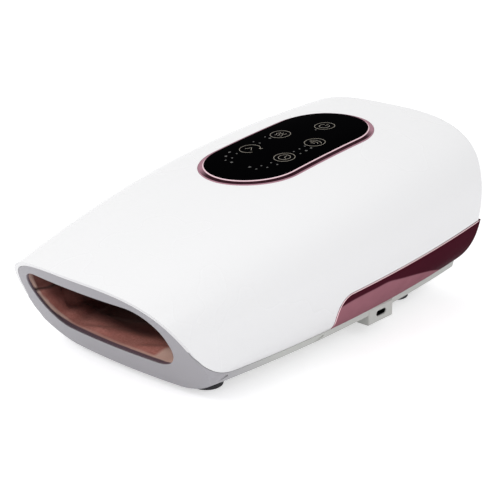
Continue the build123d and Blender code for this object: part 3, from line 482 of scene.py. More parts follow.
def metallisedRing():
    # rose metallising on moulded ABS; its colour is painted reflection, whose tone comes from the ring's own
    # stored number
    material, tree = emptyMaterial("rose metallised ABS")
    stored = addNode(tree, "Attribute", attribute_name="ringReflectionTone")
    place = addNode(tree, "TexCoord").outputs["Object"]
    drift = addNode(tree, "TexNoise", {
        "Vector": place, "Scale": 1 / (panel["toneDriftSize"] * mm), "Detail": 2.0})
    tone = addNode(tree, "Math", {
        0: drift, 1: panel["toneDrift"], 2: stored.outputs["Fac"]}, operation="MULTIPLY_ADD")
    ramp = addNode(tree, "ValToRGB", {"Fac": tone})
    stops = ramp.color_ramp.elements
    dark, dusty, bright = panel["toneStops"]
    for stop, (position, code) in zip(stops, (dark, bright)):
        stop.position, stop.color = position, hexColour(code)
    stops.new(dusty[0]).color = hexColour(dusty[1])
    closeMaterial(tree, addNode(tree, "BsdfPrincipled", {
        "Base Color": ramp, "Roughness": 0.3, "Specular IOR Level": 0.01}))
    return material


def makeRing():
    # the profile (inward, height) carried round the stadium, with a painted reflection tone for each row and
    # compass side
    offsets, heights, tones = np.array(panel["ringProfile"]).T
    grid = stadiumGrid(offsets, heights)[:, ::-1]
    hollow = np.flatnonzero(tones == 0)
    outward = grid[0, :, :2] - grid[hollow[0], :, :2]
    compass = np.degrees(np.arctan2(outward[:, 1], outward[:, 0])) - panel["darkSide"]
    turned = np.abs((compass + 180) % 360 - 180)[None]
    tones = tones[:, None] * np.interp(turned, panel["dimPast"], (1, panel["dimShare"]))
    tones[hollow] = np.interp(turned, panel["dustyPast"], (0, panel["dustyTone"]))
    ring = joinedMesh("panelFrame", [grid], metallisedRing(), wrapRows=True, wrapColumns=True)
    storeOnPoints(ring, "ringReflectionTone", tones)
    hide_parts("panel_ring")
    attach(ring, "root")


def arcPath(x, y, radius, first, last, steps=40):
    # an arc as points, angles in degrees
    turn = np.radians(np.linspace(first, last, steps))
    return np.stack([x + radius * np.cos(turn), y + radius * np.sin(turn)], -1)


def linePath(*corners, steps=8):
    # straight runs between corners, with points along them so that they follow the crown
    corners = np.array(corners, float)
    share = np.linspace(0, len(corners) - 1, steps * (len(corners) - 1) + 1)
    return np.stack([np.interp(share, np.arange(len(corners)), corners[:, i]) for i in (0, 1)], -1)


def wavePath(x, low, high, swing, steps=30):
    # an upright wave: x + swing * sin over one and a half turns
    y = np.linspace(low, high, steps)
    return np.stack([x + swing * np.sin((y - low) / (high - low) * 3 * np.pi), y], -1)


def strokeGrid(path, width, place):
    # a stroke: the path moved half a width to each side along its normal, then laid on the glass
    normal = leftOf(path)
    sides = np.stack([path - normal * width / 2, path + normal * width / 2]) + np.asarray(place)
    z = glassTop(sides[..., 0], sides[..., 1]) + panel["markLift"]
    return np.concatenate([sides, z[..., None]], -1)


# generic signs by their rings' middles: turn, heat, power, air and time, and the level lamps near them
turnSign = (-13.4, 17.2)
signs = {
    turnSign: [linePath((-2.4, -1.6), (0, 1.7), (2.4, -1.6)), linePath((4.2, 3.4), (5.5, 2.6), (6.5, 3.9))],
    (-13.4, 44.4): [wavePath(x, -2.8, 2.8, 0.55) for x in (-2.2, 0, 2.2)],
    (0.0, 69.6): [arcPath(0, -0.3, 3.1, 125, 415), linePath((0, 0.6), (0, 3.6))],
    (13.0, 44.4): [arcPath(0, -3, 1.6, 35, 145), arcPath(0, -3, 3.7, 35, 145), arcPath(0, -3, 5.8, 40, 140)],
    (13.0, 17.2): [arcPath(0, 0, 3.5, 0, 360), linePath((0, 2.3), (0, 0), (1.9, -1.2))],
}
lamps = [
    (-20.4, 7.4), (-14.9, 7.5), (-17.9, 1.6), (-12.8, 1.3), (-13.9, -3.0), (-8.6, -3.6),
    (-18.4, 36.3), (-14.3, 36.0), (-19.0, 26.7), (-14.2, 26.8), (0.0, 61.2),
    (12.2, 36.4), (17.1, 36.1), (12.3, 31.4), (17.4, 31.4), (12.2, 26.5), (17.4, 26.2),
    (11.9, 7.0), (16.6, 6.9), (9.9, 0.9), (14.4, 0.8), (5.3, -3.8), (10.5, -4.0)]


def printMarks(name, strokes, code, glow):
    # screen-printed ink with lamps behind it: flat, matt, with a faint glow of its own
    material, tree = emptyMaterial("backlit print, " + name)
    place = addNode(tree, "TexCoord").outputs["Object"]
    screen = addNode(tree, "TexNoise", {
        "Vector": place, "Scale": 1 / (panel["printGrain"] * mm), "Detail": 1.0})
    least, most = panel["printRoughness"]
    roughness = addNode(tree, "MapRange", {"Value": screen, "To Min": least, "To Max": most})
    closeMaterial(tree, addNode(tree, "BsdfPrincipled", {
        "Base Color": hexColour(code), "Roughness": roughness,
        "Emission Color": hexColour(code), "Emission Strength": glow}))
    marks = joinedMesh(name, strokes, material)
    ink = marks.modifiers.new("print thickness", "SOLIDIFY")
    ink.thickness = panel["markDepth"] * mm
    ink.offset = -1
    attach(marks, "root")


def makeMarks():
    # a ring round each sign, open on one side for the turn sign; the lamps' dots are rings with so wide a
    # stroke that they look full
    width, strokes, dots = panel["markWidth"], [], []
    for place in signs:
        first, last = panel["openRing"] if place == turnSign else (0, 360)
        ring = arcPath(0, 0, panel["iconRadius"], first, last, panel["ringSteps"])
        strokes.append(strokeGrid(ring, width, place))
    for place, paths in signs.items():
        strokes += [strokeGrid(path, width, place) for path in paths]
    for number, place in enumerate(lamps):
        size = panel["dotRadius"] * (panel["wideDot"] if number in panel["wideDots"] else 1)
        ring = arcPath(0, 0, size / 2, 0, 360, panel["dotSteps"])
        dots.append(strokeGrid(ring, size * panel["dotStroke"], place))
    printMarks("panelSigns", strokes, "#878074", 0.16)
    printMarks("panelLamps", dots, "#403e3b", 0.03)


makeRing()
makeMarks()
print("touch panel ready")


# Side inlays: a mirror film whose two tones are painted reflections, and a bright edge along the front and top

inlay = {
    "corners": [(-13.0, 19.0), (128.6, 20.8), (128.0, 48.4), (-17.0, 38.4)],
    "radii": [0, 11.0, 0, 12.0],
    # the trim runs up the front from its foot's height, and back within its reach of the top edge, as far
    # as its end
    "trimFoot": 20.2, "trimReach": 1.2, "trimEnd": 125,
    "trimWidth": 0.6, "trimProud": 0.15, "trimStep": 0.8, "trimTaper": 4.0, "trimSides": 16,
    # the film's deep band, painted reflection of the dark surroundings, lies over this line of (y, height);
    # under it lies the painted reflection of the pale floor
    "reflectionLine": [
        (-16, 32.4), (-4.3, 34.5), (17.2, 36.1), (28.6, 36.7), (38.8, 35.3), (63.1, 31.4), (80.1, 27.3),
        (98.5, 20.3), (104, 16.0)],
    "reflectionBlur": 0.5,
    "curveTop": 50,            # the height that the line's curve gives as 1
    "ripple": 9, "roughness": (0.2, 0.3),
    "deep": "#481b27", "dusty": "#a6707b", "rippledFloorReflection": "#9a6671", "edge": "#f0cdd2",
}


def inlayFilm():
    # in-mould metallised film whose colour is painted reflection: a deep wine of the dark surroundings that
    # fades at a line to the dusty rose of the pale floor. The line is heights over y as a curve in Object
    # coordinates
    material, tree = emptyMaterial("wine metallised film")
    place = addNode(tree, "TexCoord").outputs["Object"]
    axes = addNode(tree, "SeparateXYZ", {"Vector": place})
    front, rear, top = inlay["reflectionLine"][0][0], inlay["reflectionLine"][-1][0], inlay["curveTop"]
    share = addNode(tree, "MapRange", {
        "Value": axes.outputs["Y"], "From Min": front * mm, "From Max": rear * mm})
    line = addNode(tree, "FloatCurve", {"Value": share})
    curve = line.mapping.curves[0]
    knots = [((y - front) / (rear - front), height / top) for y, height in inlay["reflectionLine"]]
    curve.points[0].location, curve.points[1].location = knots[0], knots[-1]
    for knot in knots[1:-1]:
        curve.points.new(*knot)
    line.mapping.update()
    level = addNode(tree, "Math", {0: line, 1: top * mm}, operation="MULTIPLY")
    over = addNode(tree, "Math", {0: axes.outputs["Z"], 1: level}, operation="SUBTRACT")
    tone = addNode(tree, "MapRange", {
        "Value": over, "From Min": -inlay["reflectionBlur"] * mm, "From Max": inlay["reflectionBlur"] * mm})
    rippledFloorReflection, roughness = unevenSurface(
        tree, place, inlay["ripple"], 2.0, (inlay["dusty"], inlay["rippledFloorReflection"]), inlay["roughness"])
    colour = addNode(tree, "Mix", {
        "Factor": tone, 6: rippledFloorReflection.outputs[2], 7: hexColour(inlay["deep"])}, data_type="RGBA")
    closeMaterial(tree, addNode(tree, "BsdfPrincipled", {
        "Base Color": colour.outputs[2], "Roughness": roughness, "Specular IOR Level": 0.0004}))
    return material


inlaySkin = fittedSkin("side_inlay_right", (1, 2, 0), range(4), range(4), (100, 40), 0.1)


def makeTrim():
    # a flat oval bead along the outline's front and top: path + across(t) in the flank, height sin(t) out
    # of it; its inner half is sunk in the inlay, and it tapers to a point at both ends
    outline = roundedPath(inlay["corners"], inlay["radii"], inlay["trimStep"])
    rear, front = inlay["corners"][2:]
    top = np.interp(outline[:, 0], (front[0], rear[0]), (front[1], rear[1]))
    upFront = (outline[:, 0] < 0) & (outline[:, 1] > inlay["trimFoot"])
    keep = (upFront | (outline[:, 1] > top - inlay["trimReach"])) & (outline[:, 0] < inlay["trimEnd"])
    start = np.flatnonzero(keep & ~np.roll(keep, 1))[0]
    line = np.roll(outline, -start, axis=0)[:int(keep.sum())]
    turn = np.linspace(0, 2 * np.pi, inlay["trimSides"], endpoint=False)
    across = inlay["trimWidth"] * (1 - np.cos(turn)) / 2
    fromEnds = np.minimum(np.arange(len(line)), np.arange(len(line))[::-1]) * inlay["trimStep"]
    taper = np.sqrt(np.clip(fromEnds / inlay["trimTaper"], 0, 1))
    sides = line[None] + across[:, None, None] * leftOf(line)[None] * taper[:, None]
    x = inlaySkin(sides[..., 0], sides[..., 1]) + inlay["trimProud"] * np.sin(turn)[:, None] * taper
    rightBead = np.concatenate([x[..., None], sides], -1)
    edge = brightMetal("bright rose edge", {
        "colour": inlay["edge"], "roughness": 0.22, "grain": 3, "stretch": (1, 1, 1)})
    for name, bead in (("inlayTrimRight", rightBead[::-1]), ("inlayTrimLeft", rightBead * (-1, 1, 1))):
        trim = joinedMesh(name, [bead], edge, wrapRows=True)
        mergeDoubles(trim)
        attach(trim, "root")


for node in ("side_inlay_right", "side_inlay_left"):
    nodes[node].data.materials[0] = inlayFilm()
makeTrim()
print("side inlays ready")


# Cloth and padding

clothQuality = 6       # solver steps in each frame
pointMass = 0.15       # in kilograms, as the solver takes it


def relaxCloth(made, pinned, look, inward=None):
    # a short cloth simulation; each point's move is cut to look["cap"] mm, and where inward directions
    # are given only the part along them is kept, so that folds stand into the chamber and never out of it
    rest = pointsOf(made.data)
    pins = made.vertex_groups.new(name="pins")
    pins.add(np.flatnonzero(pinned).tolist(), 1.0, "REPLACE")
    cloth = made.modifiers.new("cloth", "CLOTH")
    cloth.settings.quality = clothQuality
    cloth.settings.mass = pointMass
    cloth.settings.tension_stiffness = cloth.settings.compression_stiffness = look["stiffness"]
    cloth.settings.bending_stiffness = look["bending"]
    cloth.settings.shrink_min = -look["slack"]
    cloth.settings.vertex_group_mass = "pins"
    cloth.settings.effector_weights.gravity = look["gravity"]
    cloth.settings.use_pressure = look["pressure"] > 0
    cloth.settings.uniform_pressure_force = look["pressure"]
    cloth.collision_settings.use_collision = False
    cloth.point_cache.frame_end = look["frames"]
    for step in range(1, look["frames"] + 1):
        bpy.context.scene.frame_set(step)
    settled = made.evaluated_get(bpy.context.evaluated_depsgraph_get())
    shift = (pointsOf(settled.data) - rest) / mm
    made.modifiers.clear()
    made.vertex_groups.clear()
    bpy.context.scene.frame_set(1)
    if inward is None:
        length = np.linalg.norm(shift, axis=1, keepdims=True)
        shift *= np.minimum(1, look["cap"] / np.maximum(length, 1e-6))
    else:
        depth = np.clip((shift * inward).sum(1), 0, look["cap"])
        shift = inward * depth[:, None]
    made.data.vertices.foreach_set("co", (rest + shift * mm).ravel())
    made.data.update()
    print(made.name, "relaxed, largest move", round(float(np.abs(shift).max()), 2), "mm")


fabric = {
    "nap": 1.1,                # the real nap is as fine as its depth, and is drawn larger so that it shows
    "napDepth": 0.3,
    "napStrength": 0.45,
    "patch": 16,
    "paleFrom": 0.14, "paleTo": 0.38,
    "sheen": 0.14, "sheenTint": "#e2b9aa",
}


def brushedFabric(name, look):
    # brushed polyester microfibre: a matt short nap with a soft sheen, paler where it is rubbed.
    # Each tint covers the ones before it by a number stored on the cloth's points
    material, tree = emptyMaterial(name)
    place = addNode(tree, "TexCoord").outputs["Object"]
    nap = addNode(tree, "TexNoise", {"Vector": place, "Scale": 1 / (fabric["nap"] * mm), "Detail": 5.0})
    rubbed = addNode(tree, "TexNoise", {
        "Vector": place, "Scale": 1 / (fabric["patch"] * mm), "Detail": 3.0})
    mixed = addNode(tree, "Math", {0: nap, 1: rubbed}, operation="MULTIPLY")
    share = addNode(tree, "MapRange", {
        "Value": mixed, "From Min": fabric["paleFrom"], "From Max": fabric["paleTo"]})
    colour = addNode(tree, "Mix", {
        "Factor": share, 6: hexColour(look["shade"]), 7: hexColour(look["colour"])}, data_type="RGBA")
    for tint, code in look["tints"].items():
        stored = addNode(tree, "Attribute", attribute_name=tint)
        colour = addNode(tree, "Mix", {
            "Factor": stored.outputs["Fac"], 6: colour.outputs[2], 7: hexColour(code)}, data_type="RGBA")
    bump = addNode(tree, "Bump", {
        "Height": nap, "Strength": fabric["napStrength"], "Distance": fabric["napDepth"] * mm})
    closeMaterial(tree, addNode(tree, "BsdfPrincipled", {
        "Base Color": colour.outputs[2], "Roughness": 0.95, "Sheen Weight": fabric["sheen"],
        "Sheen Roughness": 0.5, "Sheen Tint": hexColour(fabric["sheenTint"]), "Normal": bump}))
    return material


# Hand sleeve: a fabric floor panel with flanks, front to rear, and a roof panel sewn to it behind the mouth

sleeve = {
    "halfWidth": 52.95,
    "halfHeight": 20.35,
    "middleZ": 37.9,
    "corner": 18.95,
    "seamHeight": 39.3,        # where the roof panel is sewn to the flanks
    "seamSink": 0.5,
    "stitchWidth": 0.9,
    "sideTop": 55.3,
    "faceSetback": 1.65,
    "roofEnd": -97.0,
    "rear": 58.4,
    "thickness": 1.7,
    "columnStep": 2.0,
    "rowStep": 2.0,
    "frontRows": 15,
    "flankRows": 9,
    "wallRows": 16,
    "near": 0.3,               # less than any step between rows, to tell the points on an edge from the rest
    "pinReach": 0.4,           # the cloth is held this far back from the face
    # beside the moving pad, from this far ahead of the roof's end and over this height, the flanks may
    # stand out by the play and no more
    "padAhead": 2, "padLow": 34, "padPlay": 0.4,
    "slack": 0.08, "stiffness": 5.0, "bending": 0.05, "gravity": 0.2, "pressure": 0.0, "frames": 24,
    "cap": 4.2,
    "cut": (0.262, 0.227), "cutArea": 0.0366,
    # folds: place round the section from the floor's middle, place along y, turn in degrees, width,
    # length, height
    "folds": [
        (-56, -90, 8, 4.0, 13, 3.8), (-45, -92, 4, 3.2, 9, 3.0), (-31, -86, 82, 3.2, 15, 3.4),
        (-66, -104, 30, 4.0, 10, 2.4), (-14, -95, 70, 4.5, 17, 2.0), (4, -76, 78, 4.5, 20, 2.6),
        (-40, -84, 60, 2.4, 8, 2.0), (-37, -78, -25, 2.4, 7, 1.8), (-27, -91, 75, 2.4, 9, 1.7),
        (-53, -82, 12, 2.6, 9, 2.2), (22, -94, 60, 4.5, 14, 1.8), (44, -84, -10, 5.0, 14, 2.6),
        (54, -103, -14, 4.0, 9, 2.6), (-50, -66, 20, 5.0, 16, 2.6), (36, -58, -30, 5.5, 16, 2.4),
        (-16, -48, 50, 6.0, 20, 2.0)],
    # they grow over this distance from the face, and fade below this height over the floor
    "foldStart": 7, "foldTop": 40, "foldFade": 8,
    "colour": "#db988c", "shade": "#c07b71",
    # tints: painted shade in the chamber, painted light on the edge, the dark seam, and painted shade under
    # the lip
    "tints": {"deepShare": "#43160f", "rimShare": "#f7d6c8", "seamShare": "#2e1512", "hemShare": "#6e5a66"},
    # past this line of (place round the section, y) the cloth is painted darker, as painted shade deep in the
    # chamber
    "shadeLine": [
        (-75, -113), (-62, -107.5), (-57, -103), (-51, -99), (-43, -93), (-36, -91), (-10, -89), (0, -88),
        (11, -84), (60, -84), (75, -100)],
    "shadeBlur": 10,
    # how dark the painted shade gets: the flanks by (place, share), and the roof
    "flankShade": [(46, 1), (54, 0.87)], "roofShade": 0.85,
    # painted light makes the edge paler: (place round the section, reach from the face, share)
    "rim": [
        (-80, 1.8, 1.0), (-66, 1.7, 1.0), (-58, 2.0, 1.0), (-50, 2.6, 1.0), (-44, 3.0, 0.9), (-38, 3.2, 0.4),
        (-26, 3.6, 0.3), (-10, 4.1, 0.4), (12, 3.9, 0.5), (24, 4.0, 0.7), (44, 2.2, 0.8), (80, 1.8, 0.8)],
    "rimLightBlur": 0.8,
    # a painted pool of light lies right of this place and ahead of this y
    "litPatch": (24.5, -84), "litPatchBlur": (1.6, 7),
    # along the floor's front edge a band is painted darker, as painted shade under the mouth's lip: (place,
    # width back from the face)
    "lipShadeWidth": [(-52, 0), (-42, 1.6), (-34, 2.1), (30, 2.1), (40, 1.6), (50, 0)],
    "lipShadeBlur": 0.5, "lipShadeDrop": 4,    # and it stays this far below the seam
}


def faceY(x, z):
    # y = front + tan(lean) * (top - z) + bow * (x / bowWidth)^2, set back square to the face
    lean = math.radians(mouthFace["lean"])
    return (mouthFace["front"] + math.tan(lean) * (mouthFace["top"] - z)
            + mouthFace["bow"] * (x / mouthFace["bowWidth"]) ** 2 + sleeve["faceSetback"] / math.cos(lean))


def carried(section, rowsAt):
    # a section (x, z) repeated along y, where rowsAt(x, z) gives the y of every row
    y = rowsAt(section[:, 0], section[:, 1])
    return np.stack([section[:, 0] + 0 * y, y, section[:, 1] + 0 * y], -1)


def aroundSection(x, z):
    # distance from the floor's middle round the unrolled section: floor, corner's arc, then flank
    flat = sleeve["halfWidth"] - sleeve["corner"]
    low = sleeve["middleZ"] - sleeve["halfHeight"] + sleeve["corner"]
    turn = np.clip(np.arctan2(np.abs(x) - flat, low - z), 0, np.pi / 2)
    return np.sign(x) * (np.minimum(np.abs(x), flat) + sleeve["corner"] * turn + np.clip(z - low, 0, None))


def sleeveFolds(around, y):
    # each fold is height * exp(-(across / width)^2 - (along / length)^2) on the unrolled floor and flanks
    rise = 0 * y
    for middle, deep, slant, width, length, height in sleeve["folds"]:
        slant = math.radians(slant)
        across = (around - middle) * math.cos(slant) - (y - deep) * math.sin(slant)
        along = (around - middle) * math.sin(slant) + (y - deep) * math.cos(slant)
        rise = rise + height * np.exp(-(across / width) ** 2 - (along / length) ** 2)
    return rise


def sleeveCloth():
    # the floor and roof panels up to the roof's end, the flat cloth behind it, and the rear wall
    wide, corner, seamZ, end, rear = (
        sleeve[name] for name in ("halfWidth", "corner", "seamHeight", "roofEnd", "rear"))
    low, high = sleeve["middleZ"] - sleeve["halfHeight"], sleeve["middleZ"] + sleeve["halfHeight"]
    deep = np.linspace(0, 1, sleeve["frontRows"])[:, None]
    behind = np.linspace(end, rear, round((rear - end) / sleeve["rowStep"]))[:, None]

    def frontRows(x, z):
        return faceY(x, z) * (1 - deep) + end * deep

    def fromSeam(side, level):
        # from the seam on one side, along the level, to the seam on the other
        corners = [(side, seamZ), (side, level), (-side, level), (-side, seamZ)]
        return roundedPath(corners, [0, corner, corner, 0], sleeve["columnStep"], closed=False)

    floor, roof = fromSeam(wide, low), fromSeam(-wide, high)
    flank = np.linspace(sleeve["sideTop"], seamZ, sleeve["flankRows"])[:-1]
    section = np.concatenate([
        np.stack([0 * flank + wide, flank], -1), floor, np.stack([0 * flank - wide, flank[::-1]], -1)])
    # the rear wall draws the section in to its top middle: section * (1 - t) + (0, sideTop) * t
    close = np.linspace(0, 1, sleeve["wallRows"])[:, None, None]
    wall = section * (1 - close) + np.array([0, sleeve["sideTop"]]) * close
    wall = np.stack([wall[..., 0], np.full(wall.shape[:2], rear), wall[..., 1]], -1)
    rest = carried(section, lambda x, z: behind + 0 * x)
    cloth = joinedMesh(
        "handSleeve", [carried(floor, frontRows), carried(roof, frontRows), rest, wall],
        brushedFabric("rose-brown brushed microfibre", sleeve))
    mergeDoubles(cloth)
    return cloth


def tintSleeve(cloth, x, y, z):
    # how much of each tint a point takes, from its place before the folds: painted shade, painted light and
    # the seam's dark line
    near, seamZ, end = sleeve["near"], sleeve["seamHeight"], sleeve["roofEnd"]
    around, fromFace = aroundSection(x, z), y - faceY(x, z)
    # painted light along the edge, and a painted pool of light on the right
    places, reaches, shares = np.array(sleeve["rim"]).T
    reach = np.interp(around, places, reaches)
    rim = np.interp(around, places, shares) * np.clip((reach - fromFace) / sleeve["rimLightBlur"] + 0.5, 0, 1)
    place, ahead = sleeve["litPatch"]
    sideBlur, rearBlur = sleeve["litPatchBlur"]
    patch = np.clip((around - place) / sideBlur, 0, 1) * np.clip((ahead - y) / rearBlur, 0, 1)
    storeOnPoints(cloth, "rimShare", np.maximum(rim, patch))
    # painted shade deeper in the chamber, on the flanks' tops and on the roof
    line = np.interp(around, *np.array(sleeve["shadeLine"]).T)
    past = np.clip((y - line) / sleeve["shadeBlur"] + 0.5, 0, 1)
    dark = np.interp(np.abs(around), *np.array(sleeve["flankShade"]).T)
    onRoof = (z > seamZ + near) & (y < end + near)
    storeOnPoints(cloth, "deepShare", np.where(
        onRoof, sleeve["roofShade"], dark * past * past * (3 - 2 * past)))
    # painted shade along the floor's front edge, under the mouth's lip
    lipShadeWidth = np.interp(around, *np.array(sleeve["lipShadeWidth"]).T)
    underLip = np.clip((lipShadeWidth - fromFace) / sleeve["lipShadeBlur"] + 0.5, 0, 1)
    storeOnPoints(cloth, "hemShare", underLip * (z < seamZ - sleeve["lipShadeDrop"]))


def makeSleeve():
    cloth = sleeveCloth()
    wide, corner, seamZ, end, near = (
        sleeve[name] for name in ("halfWidth", "corner", "seamHeight", "roofEnd", "near"))
    low, high = sleeve["middleZ"] - sleeve["halfHeight"], sleeve["middleZ"] + sleeve["halfHeight"]
    # inward is from the outline towards the chamber, square to the section
    points = pointsOf(cloth.data) / mm
    x, y, z = points.T
    coreX = np.clip(x, corner - wide, wide - corner)
    coreZ = np.where(y > end + near, np.maximum(z, low + corner), np.clip(z, low + corner, high - corner))
    inward = np.stack([coreX - x, 0 * y, coreZ - z], -1)
    atRear = y > sleeve["rear"] - near
    inward[atRear] = (0, -1, 0)
    inward /= np.maximum(np.linalg.norm(inward, axis=1, keepdims=True), 1e-6)
    fromFace = y - faceY(x, z)
    besidePad = (y > end - sleeve["padAhead"]) & (z > sleeve["padLow"])
    atRoofEnd = (z > seamZ + near) & (np.abs(y - end) < near)
    pinned = (fromFace < sleeve["pinReach"]) | atRear | atRoofEnd | (z > sleeve["sideTop"] - near)
    ease = np.clip(fromFace / sleeve["foldStart"], 0, 1) * np.clip(
        (z - low - sleeve["foldTop"]) / -sleeve["foldFade"], 0, 1) * (1 - atRear)
    most = np.where(besidePad, sleeve["padPlay"], sleeve["cap"])
    folds = np.minimum(sleeveFolds(aroundSection(x, z), y) * ease, most)
    cloth.data.vertices.foreach_set("co", ((points + inward * folds[:, None]) * mm).ravel())
    cloth.data.update()
    cap = np.where(besidePad, 0, sleeve["cap"] - folds)
    relaxCloth(cloth, pinned, {**sleeve, "cap": cap}, inward)

    # the stitches draw the seam outward
    settled = pointsOf(cloth.data) / mm
    seam = np.exp(-((z - seamZ) / sleeve["stitchWidth"]) ** 2) * (y < end + near)
    sunk = settled - inward * sleeve["seamSink"] * seam[:, None]
    cloth.data.vertices.foreach_set("co", (sunk * mm).ravel())
    storeOnPoints(cloth, "seamShare", seam)
    tintSleeve(cloth, x, y, z)
    body = cloth.modifiers.new("cloth thickness", "SOLIDIFY")
    body.thickness = sleeve["thickness"] * mm
    body.offset = 0
    subdivide(cloth)
    cloth.data.shade_smooth()
    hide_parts("hand_liner")
    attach(cloth, "root")


# Pressing pad: a thin foam slab under fabric whose front turns up behind the sleeve's roof

pad = {
    "halfWidth": 51.2, "front": -94.25, "rear": 56.0, "height": 47.25, "riserTop": 67.0, "bend": 4.0,
    "halfThickness": 1.72, "topCorner": 12.0, "endEdge": 3.0, "sideEdge": 8.0,
    "stitchInset": 7.0, "stitchDepth": 0.55, "stitchWidth": 1.3, "step": 2.4, "columns": 61,
    # the pad's colours are darkened as painted shade, for its place in shade over the chamber
    "colour": "#5e3932", "shade": "#4c2d28", "tints": {},
    "slack": 0.01, "stiffness": 12.0, "bending": 0.6, "gravity": 0.0, "pressure": 1.5, "frames": 12,
    "cap": 0.2,
}


def padGrids():
    # two sheets over a path: path(p) +- thickness(p, q) * normal(p), across from -1 to 1 times the half
    # width; thickness falls to zero at the rim as a root, so that the sheets meet there
    corners = [(pad["front"], pad["riserTop"]), (pad["front"], pad["height"]), (pad["rear"], pad["height"])]
    path = roundedPath(corners, [0, pad["bend"], 0], pad["step"], closed=False)
    across = np.sin(np.linspace(-np.pi / 2, np.pi / 2, pad["columns"]))[None, :]
    length = np.concatenate([[0], np.cumsum(np.linalg.norm(np.diff(path, axis=0), axis=1))])[:, None]
    fromEnds = np.minimum(length, length[-1] - length)
    topReach = np.clip(1 - length / pad["topCorner"], 0, 1)
    width = pad["halfWidth"] - pad["topCorner"] * (1 - np.sqrt(1 - topReach ** 2))
    endShare = np.sqrt(1 - np.clip(1 - fromEnds / pad["endEdge"], 0, 1) ** 2)
    sideShare = np.sqrt(np.clip(1 - np.abs(across) ** pad["sideEdge"], 0, 1))
    rimDistance = np.minimum(fromEnds, width * (1 - np.abs(across)))
    stitch = np.exp(-((rimDistance - pad["stitchInset"]) / pad["stitchWidth"]) ** 2)
    thickness = pad["halfThickness"] * endShare * sideShare * (1 - pad["stitchDepth"] * stitch)
    x = width * across
    (y, z), (away, up) = path.T[..., None], leftOf(path).T[..., None]
    return [np.stack([x, y + side * thickness * away, z + side * thickness * up], -1)[:, ::-side]
            for side in (1, -1)]


def paddedPiece(name, grids, finish, look):
    piece = joinedMesh(name, grids, finish)
    mergeDoubles(piece)
    relaxCloth(piece, np.zeros(len(piece.data.vertices), bool), look)
    piece.data.shade_smooth()
    return piece


def makePad():
    finish = brushedFabric("brown brushed microfibre", pad)
    piece = paddedPiece("pressingPad", padGrids(), finish, pad)
    subdivide(piece)
    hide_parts("press_pad")
    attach(piece, "pad")


# Air bag: two sheets of film welded at a flat rim, with welds between its three cells

bag = {
    "halfWidth": 46.8, "front": -76.8, "rear": 55.8, "middleZ": 55.0, "halfThickness": 5.4,
    "rows": 91, "columns": 65, "fullness": 5, "rim": 4.0, "rimThickness": 0.35,
    "cellWelds": (-0.34, 0.32), "weldReach": 0.72, "weldFade": 0.03, "weldWidth": 2.2, "weldDepth": 0.7,
    "colours": ("#c9c6c0", "#b9b5ae"), "mottle": 7, "roughness": (0.22, 0.4), "scatter": 2,
    "slack": 0.02, "stiffness": 9.0, "bending": 0.3, "gravity": 0.0, "pressure": 2.0, "frames": 14,
    "cap": 0.4,
}


def weldedFilm():
    # thermoplastic polyurethane film: milky and smooth, with some light scattered under its surface
    material, tree = emptyMaterial("heat-welded TPU film")
    place = addNode(tree, "TexCoord").outputs["Object"]
    colour, roughness = unevenSurface(tree, place, bag["mottle"], 3.0, bag["colours"], bag["roughness"])
    closeMaterial(tree, addNode(tree, "BsdfPrincipled", {
        "Base Color": colour.outputs[2], "Roughness": roughness,
        "Subsurface Weight": 0.2, "Subsurface Radius": 3 * (bag["scatter"] * mm,)}))
    return material


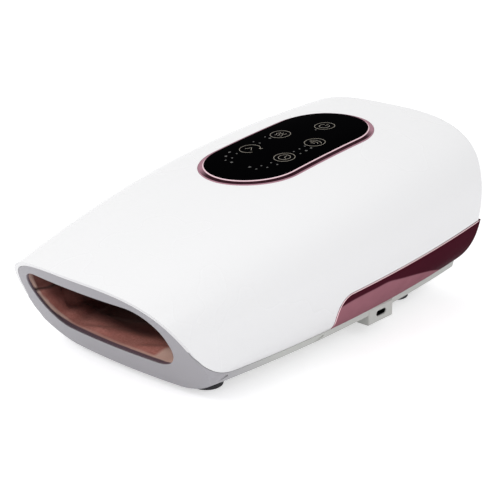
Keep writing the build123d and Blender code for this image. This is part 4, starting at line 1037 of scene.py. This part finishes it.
def makeBag():
    # height(p, q) = rim + swell * ((1 - |p|^n)(1 - |q|^n))^0.5, less a trough along each cell weld,
    # where n is the fullness
    p = np.sin(np.linspace(-np.pi / 2, np.pi / 2, bag["rows"]))[:, None]
    q = np.sin(np.linspace(-np.pi / 2, np.pi / 2, bag["columns"]))[None, :]
    halfLength, middle = (bag["rear"] - bag["front"]) / 2, (bag["rear"] + bag["front"]) / 2
    x, y = bag["halfWidth"] * q + 0 * p, middle + halfLength * p + 0 * q
    innerP = np.clip(np.abs(y - middle) / (halfLength - bag["rim"]), 0, 1)
    innerQ = np.clip(np.abs(x) / (bag["halfWidth"] - bag["rim"]), 0, 1)
    swell = np.sqrt(np.clip((1 - innerP ** bag["fullness"]) * (1 - innerQ ** bag["fullness"]), 0, 1))
    inside = 1 / (1 + np.exp((innerQ - bag["weldReach"]) / bag["weldFade"]))
    for weld in bag["cellWelds"]:
        trough = np.exp(-((y - middle - weld * halfLength) / bag["weldWidth"]) ** 2)
        swell = swell * (1 - bag["weldDepth"] * inside * trough)
    height = bag["rimThickness"] + (bag["halfThickness"] - bag["rimThickness"]) * swell
    height[[0, -1]] = height[:, [0, -1]] = 0
    grids = [np.stack([x, y, bag["middleZ"] + side * height], -1)[:, ::-side] for side in (1, -1)]
    piece = paddedPiece("airBag", grids, weldedFilm(), bag)
    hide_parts("air_bag")
    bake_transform(piece)


makeSleeve()
makePad()
makeBag()
print("soft pieces ready")


# Valve springs: coils as large as the imported ones, in their places

spring = {"wire": 0.4, "turns": 4, "stepsPerTurn": 28, "wireSides": 10}


def makeSpring(node, name):
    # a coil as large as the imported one: middle + radius * (cos t, sin t), climbing evenly, with a round wire
    # set square to its run. The first and last rows are drawn to a point, so that the ends are closed
    points = pointsOf(nodes[node].data) / mm
    low, high = points.min(0), points.max(0)
    half = spring["wire"] / 2
    radius, turns = (high[0] - low[0]) / 2 - half, 2 * np.pi * spring["turns"]
    turn = np.linspace(0, turns, spring["turns"] * spring["stepsPerTurn"])
    turn = np.concatenate([turn[:1], turn, turn[-1:]])[:, None]
    climb = (high[2] - low[2] - 2 * half) / turns
    outward = np.stack([np.cos(turn), np.sin(turn), 0 * turn], -1)
    along = np.stack([-radius * np.sin(turn), radius * np.cos(turn), climb + 0 * turn], -1)
    upward = np.cross(outward, along) / math.hypot(radius, climb)
    sides = np.linspace(0, 2 * np.pi, spring["wireSides"], endpoint=False)[None, :, None]
    thick = np.full(turn.shape, half)[..., None]
    thick[[0, -1]] = 0
    start = np.array([(low[0] + high[0]) / 2, (low[1] + high[1]) / 2, low[2] + half])
    middle = start + radius * outward + np.stack([0 * turn, 0 * turn, climb * turn], -1)
    wire = middle + thick * (outward * np.cos(sides) + upward * np.sin(sides))
    coil = joinedMesh(name, [wire], finishes["drawn spring steel"], wrapColumns=True)
    mergeDoubles(coil)
    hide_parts(node)
    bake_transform(coil)


makeSpring("valve_right_spring", "rightValveSpring")
makeSpring("valve_left_spring", "leftValveSpring")
print("valve springs ready")
